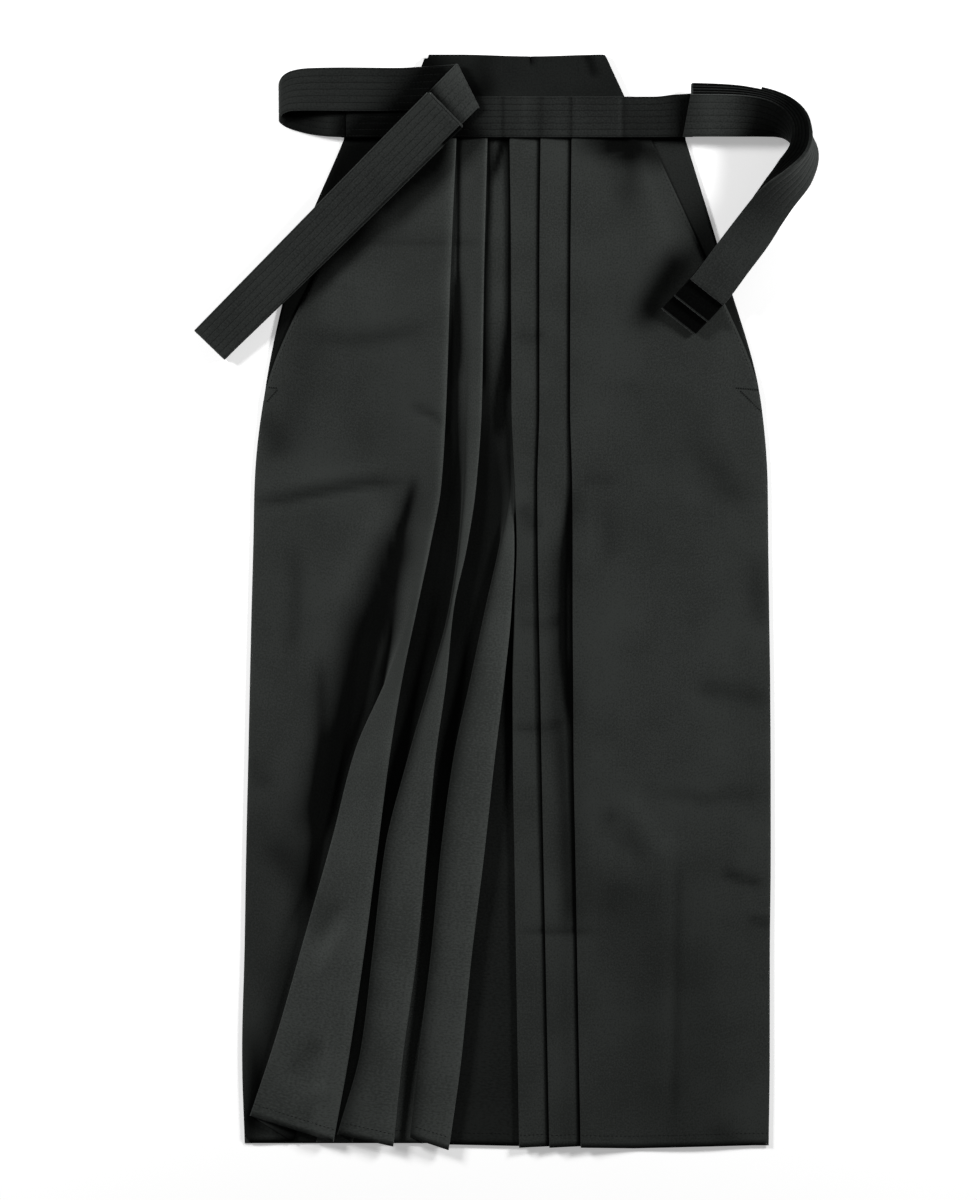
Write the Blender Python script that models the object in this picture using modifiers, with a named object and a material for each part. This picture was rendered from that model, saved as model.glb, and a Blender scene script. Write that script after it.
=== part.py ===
"""Hakama trousers laid flat on a floor, front up, with the front ties folded up on themselves.

Sizes are in millimetres and become metres only where a mesh is made. The garment lies along Y with
its waist at +Y. "drop" is the distance below the lower edge of the waistband, "across" is measured
from the middle of the whole outline, and "height" is above the floor. Left and right in the names
are the wearer's, so the right leg lies on the -X side.
"""
import math
from collections import namedtuple

import bpy

MM = 0.001
NAME = "hakama"

# Driving sizes
FRONT_LENGTH = 985.0
WAIST_Y = 453.3
CLOTH = 1.0
BAND_CLOTH = 1.6
SEAM_GAP = 0.3
LAYER_STEP = CLOTH + SEAM_GAP
TIGHT = LAYER_STEP / 2

# Heights of the wall's middle, from the floor up
BACK_HEIGHT = CLOTH / 2
FLOOR_LAYER = BACK_HEIGHT + LAYER_STEP
TUCKED_TIE_CLOTH = 1.2
PANEL_HEIGHT = CLOTH + 2 * SEAM_GAP + TUCKED_TIE_CLOTH + CLOTH / 2
SIDE_ROLL = 15.0

# Waistband, board and ties
BAND_WIDTH = 40.0
TIE_WIDTH = 41.5
TIE_STEP = BAND_CLOTH + 0.6
FRONT_TOP_DROP = -5.0
BACK_TOP_DROP = -5.7
BOARD_BOTTOM_DROP = -6.0
BOARD_THICKNESS = 5.0
VENT_DROP = 245.0

# A pressed pleat: how far the cloth goes back under its own edge, and the run over which the
# layers climb to that edge.
UNDERLAP = 18.0
CLIMB = 48.0

# A floating pleat: the fold in its open valley is loose and the others are tight. The ridge is a
# share of the pleat's height, up to its own largest size. The valley is fully pressed once the cloth
# is tucked back this far under the ridge.
OPEN_VALLEY = 2.0
RIDGE_RADIUS = 1.5
RIDGE_SHARE = 0.2
VALLEY_OPEN_TUCK = -4.0
VALLEY_PRESSED_TUCK = 10.0

# A fold that has not opened yet keeps its corners this close together on the flat cloth, and its
# valley this far before its ridge.
FLAT_SPREAD = 2.4
FLAT_VALLEY = 6.0
FLAT_EDGE_SHARE = 0.75
FLAT_UNDER_SHARE = 0.9

# Where the broad panel ends beside a pressed pleat, a floating ridge, its valley and the side.
FOOT_BEFORE_CLIMB = 4.0
FOOT_BEFORE_RIDGE = 6.0
FOOT_BEFORE_VALLEY = 8.0
FOOT_FROM_SIDE = 12.0
SHOULDER_LIMIT = 0.4
VENT_BLEND = 35.0

ROW_DROPS = (FRONT_TOP_DROP, 60, 120, 180, 240, 290, 340, 370, 400, 430, 460, 495,
             530, 570, 610, 655, 700, 760, 820, 880, 940, FRONT_LENGTH)

COLOURS = {
    "cloth": (0.026, 0.030, 0.028),
    "band": (0.030, 0.034, 0.032),
}


# Interpolation along the length
def slopes(knots, values):
    """Tangents of a monotone cubic, so that an edge line never overshoots its own sizes."""
    secants = [(values[i + 1] - values[i]) / (knots[i + 1] - knots[i]) for i in range(len(knots) - 1)]
    inner = []
    for before, after in zip(secants, secants[1:]):
        inner.append(0.0 if before * after <= 0 else 2 * before * after / (before + after))
    return [secants[0]] + inner + [secants[-1]]


def along(knots, values, at):
    """Smooth value at one place from a row of values at the given knots."""
    at = min(max(at, knots[0]), knots[-1])
    tangents = slopes(knots, values)
    i = 0
    while i < len(knots) - 2 and at > knots[i + 1]:
        i += 1
    span = knots[i + 1] - knots[i]
    t = (at - knots[i]) / span
    rise = values[i + 1] - values[i]
    start_pull = span * tangents[i] - rise
    end_pull = rise - span * tangents[i + 1]
    return values[i] + t * rise + t * (1 - t) * ((1 - t) * start_pull + t * end_pull)


def mix(a, b, share):
    return a + (b - a) * share


# Edge lines of the fronts: a row for each line, a column for each of the drops in STATIONS.
STATIONS = (0, 130, 260, 340, 400, 460, 530, 610, 700, 800, 900, 985)

RIGHT_LEG = {
    #            0     130     260     340     400     460     530     610     700     800     900     985
    "side":    (-118.8, -184.0, -236.0, -244.3, -245.6, -247.2,
                -248.8, -250.5, -252.5, -254.2, -256.6, -254.0),
    "ridge_1": (-87.5, -87.5, -87.5, -87.8, -90.5, -93.2, -112.5, -145.6, -168.0, -195.0, -222.0, -248.5),
    "crease_1": (-47.4, -53.1, -57.4, -62.2, -73.0, -85.6, -100.2, -113.2, -124.7, -137.6, -152.3, -167.5),
    "ridge_2": (-35.0, -35.0, -38.0, -40.0, -45.0, -53.5, -71.3, -94.0, -116.3, -128.0, -140.0, -163.0),
    "crease_2": (-17.1, -20.4, -22.6, -28.1, -37.1, -50.0, -57.2, -68.4, -76.7, -86.3, -100.2, -109.0),
    "ridge_3": (4.0, 4.0, 4.0, 5.0, -4.8, -18.0, -32.6, -49.6, -61.7, -71.2, -83.3, -92.5),
    "crease_3": (7.0, 7.0, 7.0, 8.0, 9.2, 6.4, -0.7, -10.5, -20.5, -32.9, -43.0, -54.9),
    "inner":   (20.4, 22.0, 22.3, 25.7, 27.4, 24.9, 23.3, 23.7, 25.1, 26.7, 28.4, 29.7),
}

# How the three floating pleats of the right leg stand: height of the top, how far the cloth is
# tucked back under the ridge and under the crease, and how far the pleat has opened out of the flat
# cloth (0 flat, 1 folded). The third pleat's crease opens with its ridge.
PLEATS = (
    {
        "height": (6.0, 6.0, 6.6, 8.0, 9.5, 11.0, 12.0, 12.5, 12.0, 11.0, 9.5, 8.0),
        "tuck":   (-14, -14, -14, -14, -14, -14, -4, 10, 22, 32, 40, 42),
        "under":  (18, 18, 18, 18, 18, 14, 10, 14, 16, 18, 18, 16),
        "folded": (0, 0, 0, 0, 0, 0.4, 1, 1, 1, 1, 1, 1),
    },
    {
        "height": (6.0, 6.0, 6.8, 8.5, 10.0, 11.5, 12.5, 12.5, 12.0, 11.0, 9.5, 8.0),
        "tuck":   (-10, -10, -8, -2, 0, 0, 3, 8, 14, 14, 14, 14),
        "under":  (18, 18, 16, 7, 5, 2, 5, 10, 15, 15, 15, 14),
        "folded": (0, 0, 0.5, 1, 1, 1, 1, 1, 1, 1, 1, 1),
    },
    {
        "height": (1.8, 1.8, 1.8, 3.2, 7.0, 9.0, 10.5, 11.5, 11.0, 10.0, 9.0, 8.0),
        "tuck":   (-18, -18, -18, -9, 1, 8, 12, 14, 14, 14, 14, 12),
        "under":  (-4, -4, -4, -4, 3, 8, 12, 14, 14, 14, 14, 12),
        "folded": (0, 0, 0, 0.5, 1, 1, 1, 1, 1, 1, 1, 1),
    },
)

LEFT_LEG = {
    "side":    (142.3, 201.0, 250.9, 257.3, 257.9, 258.7, 259.7, 260.2, 260.3, 259.4, 259.3, 258.3),
    "crease_1": (66.0, 64.9, 64.6, 66.6, 67.0, 67.0, 67.5, 68.0, 69.7, 71.5, 73.3, 74.8),
    "crease_2": (35.7, 34.6, 34.6, 32.6, 33.0, 33.9, 35.3, 36.7, 38.5, 40.6, 42.6, 44.2),
    "crease_3": (5.4, 7.0, 7.3, 10.7, 12.4, 9.9, 8.3, 8.7, 10.1, 11.7, 13.4, 14.7),
}
LEFT_CREASE_HEIGHTS = (
    (6.0, 6.0, 6.0, 7.5, 9.0, 10.0, 9.5, 8.0, 6.8, 6.2, 6.2, 6.2),
    (6.0, 6.0, 6.0, 6.5, 7.5, 8.0, 8.0, 7.2, 6.5, 6.1, 6.1, 6.1),
    (6.0, 6.0, 6.0, 6.0, 6.5, 7.0, 7.0, 6.4, 6.0, 6.0, 6.0, 6.0),
)

# The broad panels: the wall's height beside the pleats, and how far the middle arches above it.
RIGHT_PANEL = {
    "height": (PANEL_HEIGHT,) * 9 + (2.8, 1.9, 1.8),
    "arch":   (1.8, 2.2, 2.4, 2.4, 2.6, 2.8, 2.8, 2.6, 2.2, 1.4, 0.3, 0.0),
}
LEFT_PANEL = {
    "height": (PANEL_HEIGHT,) * 9 + (2.8, 2.2, 1.8),
    "arch":   (1.8, 2.2, 2.4, 2.4, 2.4, 2.4, 2.4, 2.4, 2.4, 2.4, 2.0, 1.2),
}

# Outlines of the sides: the wedge in each side opening reaches this far out at the top, and the
# leg's own side takes over below it.
RIGHT_OUTLINE = (-156.4, -208.8, -236.7) + RIGHT_LEG["side"][3:]
LEFT_OUTLINE = (176.5, 215.8) + LEFT_LEG["side"][2:]

# Where each line's lower end lies below the waistband, because the floating pleats hang askew.
# A line that is not named ends at the full length.
HEM = {
    "right_side": 976.0, "right_shoulder": 982.0, "right_foot": 984.0, "valley_1": 984.0,
    "ridge_1": 956.0, "crease_1": 981.0, "under_1": 984.0, "ridge_2": 974.0, "crease_2": 985.5,
    "ridge_3": 977.0, "crease_3": 989.0, "inner": 988.5, "left_foot": 989.0,
    "left_under_1": 989.0, "left_under_2": 989.0, "left_under_3": 989.0,
}
BACK_LENGTH = 983.0

Knot = namedtuple("Knot", "across height hem")


def line(table, name, drop):
    return along(STATIONS, table[name], drop)


# Sections across the garment
FOLD_CORNERS = 4
Fold = namedtuple("Fold", "name across height radius turn")


def fold(name, edge, facing, top, radius, turn):
    """A round fold: its outermost line is at edge and points to facing (+1 or -1 across).

    turn is +1 where the cloth folds up and -1 where it folds down. top is the height of its upper
    layer for a turn of -1, and of its lower layer for +1.
    """
    return Fold(name, edge - facing * radius, top + turn * radius, radius, turn)


def heading_between(a, b):
    """Direction of the straight cloth from one fold to the next, tangent to both."""
    across, height = b.across - a.across, b.height - a.height
    shift = (b.turn * b.radius - a.turn * a.radius) / math.hypot(across, height)
    return math.atan2(height, across) - math.asin(max(-1.0, min(1.0, shift)))


def corner_knots(item, arriving, leaving):
    """Corners of the polygon drawn round a fold, at equal turns from one heading to the other."""
    whole = (item.turn * (leaving - arriving)) % (2 * math.pi)
    step = item.turn * whole / FOLD_CORNERS
    reach = item.radius / math.cos(step / 2)
    knots = []
    for i in range(FOLD_CORNERS):
        heading = arriving + (i + 0.5) * step
        across = item.across + item.turn * reach * math.sin(heading)
        height = item.height - item.turn * reach * math.cos(heading)
        knots.append(Knot(across, height, HEM.get(item.name, FRONT_LENGTH)))
    return knots


def wrapped(start, folds, end):
    """Knots of a cloth that runs from start round each fold to end, a group for each fold's name."""
    first = Fold("start", start.across, start.height, 0.0, 1)
    last = Fold("end", end.across, end.height, 0.0, 1)
    chain = [first] + folds + [last]
    headings = [heading_between(a, b) for a, b in zip(chain, chain[1:])]
    return {item.name: corner_knots(item, headings[i], headings[i + 1]) for i, item in enumerate(folds)}


def between(a, b, share):
    return Knot(*(mix(p, q, share) for p, q in zip(a, b)))


def flat_knots(name, start, end, middle):
    """Knots on the straight line between two others, for a fold that has not opened yet."""
    run = end.across - start.across
    knots = []
    for i in range(FOLD_CORNERS):
        across = middle + FLAT_SPREAD * (i / (FOLD_CORNERS - 1) - 0.5)
        knot = between(start, end, (across - start.across) / run)
        knots.append(knot._replace(hem=HEM.get(name, FRONT_LENGTH)))
    return knots


def joined(groups):
    """One row of knots from groups, each given with the number of knots before it."""
    row = list(groups[0][1])
    for count, knots in groups[1:]:
        last = row[-1]
        row += [between(last, knots[0], (i + 1) / (count + 1)) for i in range(count)]
        row += knots
    return row


def side_height(drop):
    """The front's side edge lies on the wedge down to the end of the opening, then on the back."""
    on_wedge = FLOOR_LAYER + LAYER_STEP
    knots = (0, VENT_DROP, VENT_DROP + VENT_BLEND, FRONT_LENGTH)
    return along(knots, (on_wedge, on_wedge, FLOOR_LAYER, FLOOR_LAYER), drop)


def panel_knots(leg, side, foot_across, panel, drop):
    """The broad panel beside the pleats, from its side edge to where it starts to climb."""
    height = along(STATIONS, panel["height"], drop)
    arch = along(STATIONS, panel["arch"], drop)
    edge = Knot(side, side_height(drop), HEM.get(f"{leg}_side", FRONT_LENGTH))
    foot = Knot(foot_across, height, HEM[f"{leg}_foot"])
    shoulder_across = min(side + SIDE_ROLL, mix(side, foot_across, SHOULDER_LIMIT))
    shoulder = Knot(shoulder_across, height, HEM.get(f"{leg}_shoulder", FRONT_LENGTH))
    row = [edge, shoulder]
    for share in (0.25, 0.5, 0.75):
        middle = between(shoulder, foot, share)
        row.append(middle._replace(height=height + arch * math.sin(math.pi * share)))
    return row + [foot]


def pleat_folds(number, values, ridge, crease, low):
    """The four folds of a floating pleat: valley, ridge, crease and the fold under it."""
    top = values["height"]
    ridge_radius = min(RIDGE_RADIUS, RIDGE_SHARE * (top - low))
    pressed = (values["tuck"] - VALLEY_OPEN_TUCK) / (VALLEY_PRESSED_TUCK - VALLEY_OPEN_TUCK)
    valley_radius = mix(OPEN_VALLEY, TIGHT, min(1.0, max(0.0, pressed)))
    return [
        fold(f"valley_{number}", ridge + values["tuck"], 1, low, valley_radius, 1),
        fold(f"ridge_{number}", ridge, -1, top, ridge_radius, -1),
        fold(f"crease_{number}", crease, 1, top, TIGHT, -1),
        fold(f"under_{number}", crease - values["under"], -1, FLOOR_LAYER, TIGHT, 1),
    ]


# Knots on the straight cloth before each fold of a floating pleat.
FIRST_PLEAT_BRIDGES = (1, 1, 3, 1)
LATER_PLEAT_BRIDGES = (3, 1, 3, 1)


def right_front_row(drop):
    """Section of the right front: a panel, three pleats that open into a fan, a centre strip."""
    crease = [line(RIGHT_LEG, f"crease_{i}", drop) for i in (1, 2, 3)]
    ridge = [line(RIGHT_LEG, f"ridge_{i}", drop) for i in (1, 2, 3)]
    values = [{column: along(STATIONS, pleat[column], drop) for column in pleat} for pleat in PLEATS]
    opened = [pleat["folded"] for pleat in values]
    side = line(RIGHT_LEG, "side", drop)
    low = mix(PANEL_HEIGHT, FLOOR_LAYER, opened[0])
    valley_start = ridge[0] + values[0]["tuck"] - 4 * TIGHT
    climb_start = mix(crease[0] - CLIMB, valley_start, opened[0])
    before_fan = min(ridge[0] - FOOT_BEFORE_RIDGE, valley_start - FOOT_BEFORE_VALLEY)
    fan_foot = max(before_fan, side + FOOT_FROM_SIDE)
    foot = mix(climb_start - FOOT_BEFORE_CLIMB, fan_foot, opened[0])
    start = Knot(climb_start, low, HEM["valley_1"])
    inner = Knot(line(RIGHT_LEG, "inner", drop), FLOOR_LAYER, HEM["inner"])

    lows = (low, FLOOR_LAYER, FLOOR_LAYER)
    pleats = [pleat_folds(i + 1, values[i], ridge[i], crease[i], lows[i]) for i in range(3)]
    kept_flat = [pleats[0][2:], pleats[1][2:], []]
    folded_chain = [f for i in range(3) for f in (pleats[i] if opened[i] > 0 else kept_flat[i])]
    flat_chain = [f for i in range(3) for f in (pleats[i] if opened[i] >= 1 else kept_flat[i])]
    folded_groups = wrapped(start, folded_chain, inner)
    flat_groups = wrapped(start, flat_chain, inner)

    groups = [(0, panel_knots("right", side, foot, RIGHT_PANEL, drop))]
    before = start
    for i, names in enumerate([item.name for item in pleat] for pleat in pleats):
        valley, roll, edge, under = names
        after = flat_groups[edge][0] if edge in flat_groups else inner
        valley_at = max(ridge[i] + min(values[i]["tuck"], -FLAT_VALLEY), before.across + FLAT_SPREAD)
        roll_at = max(ridge[i], before.across + 3 * FLAT_SPREAD)
        edge_at = mix(before.across, after.across, FLAT_EDGE_SHARE)
        under_at = mix(before.across, after.across, FLAT_UNDER_SHARE)
        flat = {
            valley: flat_knots(valley, before, after, valley_at),
            roll: flat_knots(roll, before, after, roll_at),
            edge: flat_groups.get(edge) or flat_knots(edge, before, after, edge_at),
            under: flat_groups.get(under) or flat_knots(under, before, after, under_at),
        }
        for name, bridges in zip(names, LATER_PLEAT_BRIDGES if i else FIRST_PLEAT_BRIDGES):
            folded = folded_groups.get(name, flat[name])
            groups.append((bridges, [between(a, b, opened[i]) for a, b in zip(flat[name], folded)]))
        before = groups[-1][1][-1]
    groups.append((2, [inner]))
    return joined(groups)


def left_front_row(drop):
    """Section of the left front: a panel and three pressed pleats that face the centre.

    It is worked out with the across direction turned round, so that the pleats face the same way
    as the right leg's, and turned back at the end.
    """
    crease = [-line(LEFT_LEG, f"crease_{i}", drop) for i in (1, 2, 3)]
    heights = [along(STATIONS, row, drop) for row in LEFT_CREASE_HEIGHTS]
    folds = []
    for i, (edge_at, top) in enumerate(zip(crease, heights), 1):
        folds.append(fold(f"left_crease_{i}", edge_at, 1, top, TIGHT, -1))
        folds.append(fold(f"left_under_{i}", edge_at - UNDERLAP, -1, FLOOR_LAYER, TIGHT, 1))
    start = Knot(crease[0] - CLIMB, PANEL_HEIGHT, HEM["left_foot"])
    end = Knot(folds[-1].across, FLOOR_LAYER + LAYER_STEP, HEM["left_under_3"])
    knots = wrapped(start, folds[:-1], end)
    side = -line(LEFT_LEG, "side", drop)
    groups = [(0, panel_knots("left", side, start.across - FOOT_BEFORE_CLIMB, LEFT_PANEL, drop))]
    groups += [(2 - i % 2, group) for i, group in enumerate(knots.values())]
    groups.append((1, [end]))
    return [knot._replace(across=-knot.across) for knot in joined(groups)]


def placed(row, drop):
    """Knots of one section as points: each line runs down to its own end at the hem."""
    points = []
    for knot in row:
        stretch = mix(1.0, knot.hem / FRONT_LENGTH, max(drop, 0.0) / FRONT_LENGTH)
        points.append((knot.across, WAIST_Y - drop * stretch, knot.height))
    return points


# Objects
def collection(name):
    made = bpy.data.collections.new(name)
    bpy.context.scene.collection.children.link(made)
    return made


def material(name, colour):
    made = bpy.data.materials.new(name)
    made.use_nodes = True
    shader = made.node_tree.nodes["Principled BSDF"]
    shader.inputs["Base Color"].default_value = (*colour, 1.0)
    shader.inputs["Roughness"].default_value = 0.9
    shader.inputs["Metallic"].default_value = 0.0
    return made


def sheet(name, rows, thickness, colour):
    """A cloth piece: a grid of points in rows, made a closed wall by Solidify."""
    width = len(rows[0])
    points = [tuple(value * MM for value in point) for row in rows for point in row]
    faces = []
    for r in range(len(rows) - 1):
        for c in range(width - 1):
            corner = r * width + c
            faces.append((corner, corner + 1, corner + width + 1, corner + width))
    mesh = bpy.data.meshes.new(name)
    mesh.from_pydata(points, [], faces)
    mesh.materials.append(material(f"{name}_{colour}", COLOURS[colour]))
    piece = bpy.data.objects.new(name, mesh)
    garment.objects.link(piece)
    wall = piece.modifiers.new("wall", "SOLIDIFY")
    wall.thickness = thickness * MM
    wall.offset = 0.0
    wall.use_even_offset = True
    wall.use_rim = True
    return piece


# Fronts and backs
def make_fronts():
    sheet("front_right", [placed(right_front_row(d), d) for d in ROW_DROPS], CLOTH, "cloth")
    sheet("front_left", [placed(left_front_row(d), d) for d in ROW_DROPS], CLOTH, "cloth")


def make_backs():
    """The two backs lie flat on the floor and meet halfway between the pleats at the waist."""
    centre = (line(RIGHT_LEG, "crease_2", 0) + line(LEFT_LEG, "crease_2", 0) - SEAM_GAP) / 2
    drops = (BACK_TOP_DROP,) + ROW_DROPS[1:]
    for name, outline, side in (("back_right", RIGHT_OUTLINE, -1), ("back_left", LEFT_OUTLINE, 1)):
        rows = []
        for drop in drops:
            outer = along(STATIONS, outline, drop)
            inner = centre + side * SEAM_GAP / 2
            end = WAIST_Y - min(drop, BACK_LENGTH)
            rows.append([(mix(outer, inner, s), end, BACK_HEIGHT) for s in (0, 0.5, 1)])
        if side > 0:
            rows = [row[::-1] for row in rows]
        sheet(name, rows, CLOTH, "cloth")


WEDGE_LAP = 8.0
WEDGE_INSET = 3.0


def make_wedges():
    """The wedge in each side opening lies under the front's edge and on the back."""
    drops = [mix(WEDGE_INSET, VENT_DROP - WEDGE_INSET, i / 6) for i in range(7)]
    for name, table, outline, side in (
        ("sasahida_right", RIGHT_LEG, RIGHT_OUTLINE, -1),
        ("sasahida_left", LEFT_LEG, LEFT_OUTLINE, 1),
    ):
        rows = []
        for drop in drops:
            inner = line(table, "side", drop) - side * WEDGE_LAP
            outer = along(STATIONS, outline, drop)
            row = [(mix(outer, inner, s), WAIST_Y - drop, FLOOR_LAYER) for s in (0, 0.5, 1)]
            rows.append(row if side < 0 else row[::-1])
        sheet(name, rows, CLOTH, "cloth")


# Waistband and board
BandRow = namedtuple("BandRow", "across lower_height upper_height upper_rise")
BAND_ROWS = (
    BandRow(-156.0, 7.8, 6.1, 40.0),
    BandRow(-100.0, 7.8, 6.1, 40.0),
    BandRow(-40.0, 7.8, 6.1, 40.0),
    BandRow(40.0, 7.8, 6.1, 40.0),
    BandRow(100.0, 7.8, 6.1, 40.0),
    BandRow(145.0, 8.2, 6.8, 40.0),
    BandRow(164.0, 10.6, 10.4, 41.5),
    BandRow(181.0, 13.6, 16.0, 42.5),
)


# The band lies level this far up from its lower edge, then leans down towards the board.
BAND_LEVEL = 8.0
BAND_BEND_SHARE = 0.6


def make_waistband():
    rows = []
    for row in BAND_ROWS:
        bend_height = mix(row.lower_height, row.upper_height, BAND_BEND_SHARE)
        rows.append([
            (row.across, WAIST_Y, row.lower_height),
            (row.across, WAIST_Y + BAND_LEVEL, row.lower_height),
            (row.across, WAIST_Y + row.upper_rise * BAND_BEND_SHARE, bend_height),
            (row.across, WAIST_Y + row.upper_rise, row.upper_height),
        ])
    sheet("waistband", [row[::-1] for row in rows], BAND_CLOTH, "band")


# Outline of the covered board: a trapezium with small cut corners and a slightly uneven top.
BoardCorner = namedtuple("BoardCorner", "across rise")
BOARD_OUTLINE = (
    BoardCorner(-106.0, -BOARD_BOTTOM_DROP), BoardCorner(133.0, -BOARD_BOTTOM_DROP),
    BoardCorner(116.9, 40.1), BoardCorner(98.3, 79.2), BoardCorner(94.0, 79.9),
    BoardCorner(88.0, 80.6), BoardCorner(60.0, 80.0), BoardCorner(26.0, 79.3),
    BoardCorner(-40.0, 80.8), BoardCorner(-70.0, 81.2), BoardCorner(-76.8, 76.3),
    BoardCorner(-82.6, 66.5), BoardCorner(-92.5, 40.1),
)


def make_board():
    curve = bpy.data.curves.new("koshiita", "CURVE")
    curve.dimensions = "2D"
    curve.fill_mode = "BOTH"
    curve.extrude = BOARD_THICKNESS / 2 * MM
    spline = curve.splines.new("POLY")
    spline.points.add(len(BOARD_OUTLINE) - 1)
    for point, corner in zip(spline.points, BOARD_OUTLINE):
        point.co = (corner.across * MM, (WAIST_Y + corner.rise) * MM, 0.0, 1.0)
    spline.use_cyclic_u = True
    board = bpy.data.objects.new("koshiita", curve)
    board.location.z = BOARD_THICKNESS / 2 * MM
    curve.materials.append(material("koshiita_cloth", COLOURS["cloth"]))
    garment.objects.link(board)


# Ties
OCTAGON_CORNER = 1 - math.sqrt(0.5)


def turn_rows(last, following, outward):
    """Rows round a fold between two parallel layers of a tie: half an octagon that bulges outward."""
    rows = []
    for share in (OCTAGON_CORNER, 1 - OCTAGON_CORNER):
        row = []
        for a, b, out in zip(last, following, outward):
            bulge = OCTAGON_CORNER * math.dist(a, b)
            row.append(tuple(mix(p, q, share) + o * bulge for p, q, o in zip(a, b, out)))
        rows.append(row)
    return rows


def unit(vector):
    length = math.sqrt(sum(v * v for v in vector))
    return tuple(v / length for v in vector)


def away(row_end, row_before):
    """Unit directions that point on past the end of a run, one for each edge of the tie."""
    return [unit(tuple(e - b for e, b in zip(end, before))) for end, before in zip(row_end, row_before)]


def zigzag(runs):
    """One row list from runs that alternate in direction, with a small fold between each two."""
    rows = list(runs[0])
    for run in runs[1:]:
        rows += turn_rows(rows[-1], run[0], away(rows[-1], rows[-2]))
        rows += run
    return rows


# Loop of the right front tie: rows of its two edges, the lower one first.
EdgeRow = namedtuple("EdgeRow", "low_across low_rise low_height high_across high_rise high_height")
RIGHT_TIE_LOOP = (
    EdgeRow(-156.3, 0.0, 7.8, -156.3, 40.0, 6.1),
    EdgeRow(-172.0, 0.9, 5.6, -172.0, 40.6, 5.0),
    EdgeRow(-188.0, 3.0, 3.0, -189.0, 42.6, 3.2),
    EdgeRow(-203.0, 6.6, 1.7, -204.0, 45.0, 2.0),
    EdgeRow(-214.0, 10.6, 2.4, -215.0, 48.0, 2.6),
    EdgeRow(-219.8, 16.0, 6.5, -220.0, 52.0, 7.5),
    EdgeRow(-217.2, 21.8, 11.0, -217.5, 58.5, 12.4),
    EdgeRow(-207.0, 25.3, 13.2, -208.0, 64.5, 14.4),
    EdgeRow(-190.0, 25.6, 13.2, -191.0, 67.2, 14.0),
    EdgeRow(-150.0, 25.4, 11.4, -152.0, 68.0, 11.8),
    EdgeRow(-107.0, 25.4, 9.6, -107.0, 67.8, 9.6),
    EdgeRow(-62.0, 26.8, 9.2, -72.0, 69.6, 9.2),
    EdgeRow(-26.0, 28.4, 9.0, -47.5, 71.4, 9.0),
)
# The bundle of four runs that goes from the skew fold down past the side.
BUNDLE_TOP = ((-26.0, 28.4), (-47.5, 71.4))
BUNDLE_END = ((-272.4, -216.0), (-302.0, -187.4))
BundleStation = namedtuple("BundleStation", "share height")
BUNDLE_STATIONS = (
    BundleStation(0.0, 11.3), BundleStation(0.12, 11.6), BundleStation(0.26, 10.6),
    BundleStation(0.40, 8.6), BundleStation(0.55, 7.0), BundleStation(0.70, 5.6),
    BundleStation(0.85, 3.9), BundleStation(1.0, 1.4),
)
BUNDLE_TOP_SHARES = (0.073, 0.11)
BUNDLE_LOOSENESS = 1.4


def bundle_row(share, layer):
    """Both edges of one layer of the bundle at a share of its length."""
    shares = [station.share for station in BUNDLE_STATIONS]
    height = along(shares, [station.height for station in BUNDLE_STATIONS], share)
    step = mix(TIE_STEP + BUNDLE_LOOSENESS, TIE_STEP, share)
    row = []
    for top, end, top_share in zip(BUNDLE_TOP, BUNDLE_END, BUNDLE_TOP_SHARES):
        start_share = top_share * (1 - share) if layer else 0.0
        place = mix(start_share, 1.0, share)
        row.append((mix(top[0], end[0], place), WAIST_Y + mix(top[1], end[1], place), height + layer * step))
    return row


def make_right_tie():
    """Loop beside the band, a skew fold, then four runs on top of each other."""
    loop = []
    for row in RIGHT_TIE_LOOP:
        low = (row.low_across, WAIST_Y + row.low_rise, row.low_height)
        loop.append([low, (row.high_across, WAIST_Y + row.high_rise, row.high_height)])
    shares = [station.share for station in BUNDLE_STATIONS]
    runs = [loop]
    for layer in range(4):
        run = [bundle_row(share, layer) for share in shares]
        runs.append(run if layer % 2 == 0 else run[::-1])
    sheet("tie_front_right", zigzag(runs), BAND_CLOTH, "band")


# The left front tie turns on its edge round a bend and comes down flipped over. fan is how far each
# layer is shifted along its own width from the one before it, gap how much looser it lies on it.
TrackRow = namedtuple("TrackRow", "across rise heading tilt height fan gap")
LEFT_TIE_TRACK = (
    TrackRow(181.4, 20.8, 0, 6, 15.6, 2.1, 0.0),
    TrackRow(200.0, 20.8, -1, 8, 16.4, 2.0, 0.0),
    TrackRow(222.0, 20.4, -3, 13, 18.2, 1.8, 0.1),
    TrackRow(246.0, 18.6, -9, 27, 22.4, 1.2, 0.4),
    TrackRow(266.0, 13.0, -24, 50, 25.0, 0.5, 0.9),
    TrackRow(277.5, 2.0, -50, 78, 25.6, 0.1, 1.5),
    TrackRow(281.0, -13.5, -84, 104, 24.6, 0.0, 1.7),
    TrackRow(277.0, -33.0, -112, 128, 21.2, 0.0, 1.4),
    TrackRow(264.0, -59.0, -126, 148, 16.6, 0.0, 0.8),
    TrackRow(246.5, -87.0, -129, 163, 12.8, 0.0, 0.3),
    TrackRow(225.0, -115.5, -129, 171, 11.0, 0.0, 0.0),
    TrackRow(203.0, -143.5, -128, 175, 10.2, 0.0, 0.0),
    TrackRow(189.0, -161.0, -128, 176, 9.8, 0.0, 0.0),
    TrackRow(176.0, -177.5, -128, 177, 9.6, 0.0, 0.0),
)
# Each layer's first and last row on the track: outward runs end in three stepped folds.
TieLayer = namedtuple("TieLayer", "first last")
LEFT_TIE_LAYERS = (
    TieLayer(0, 13), TieLayer(0, 13), TieLayer(0, 12), TieLayer(0, 12), TieLayer(0, 11), TieLayer(3, 11),
)
LEFT_TIE_START_LAP = 3.0


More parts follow.
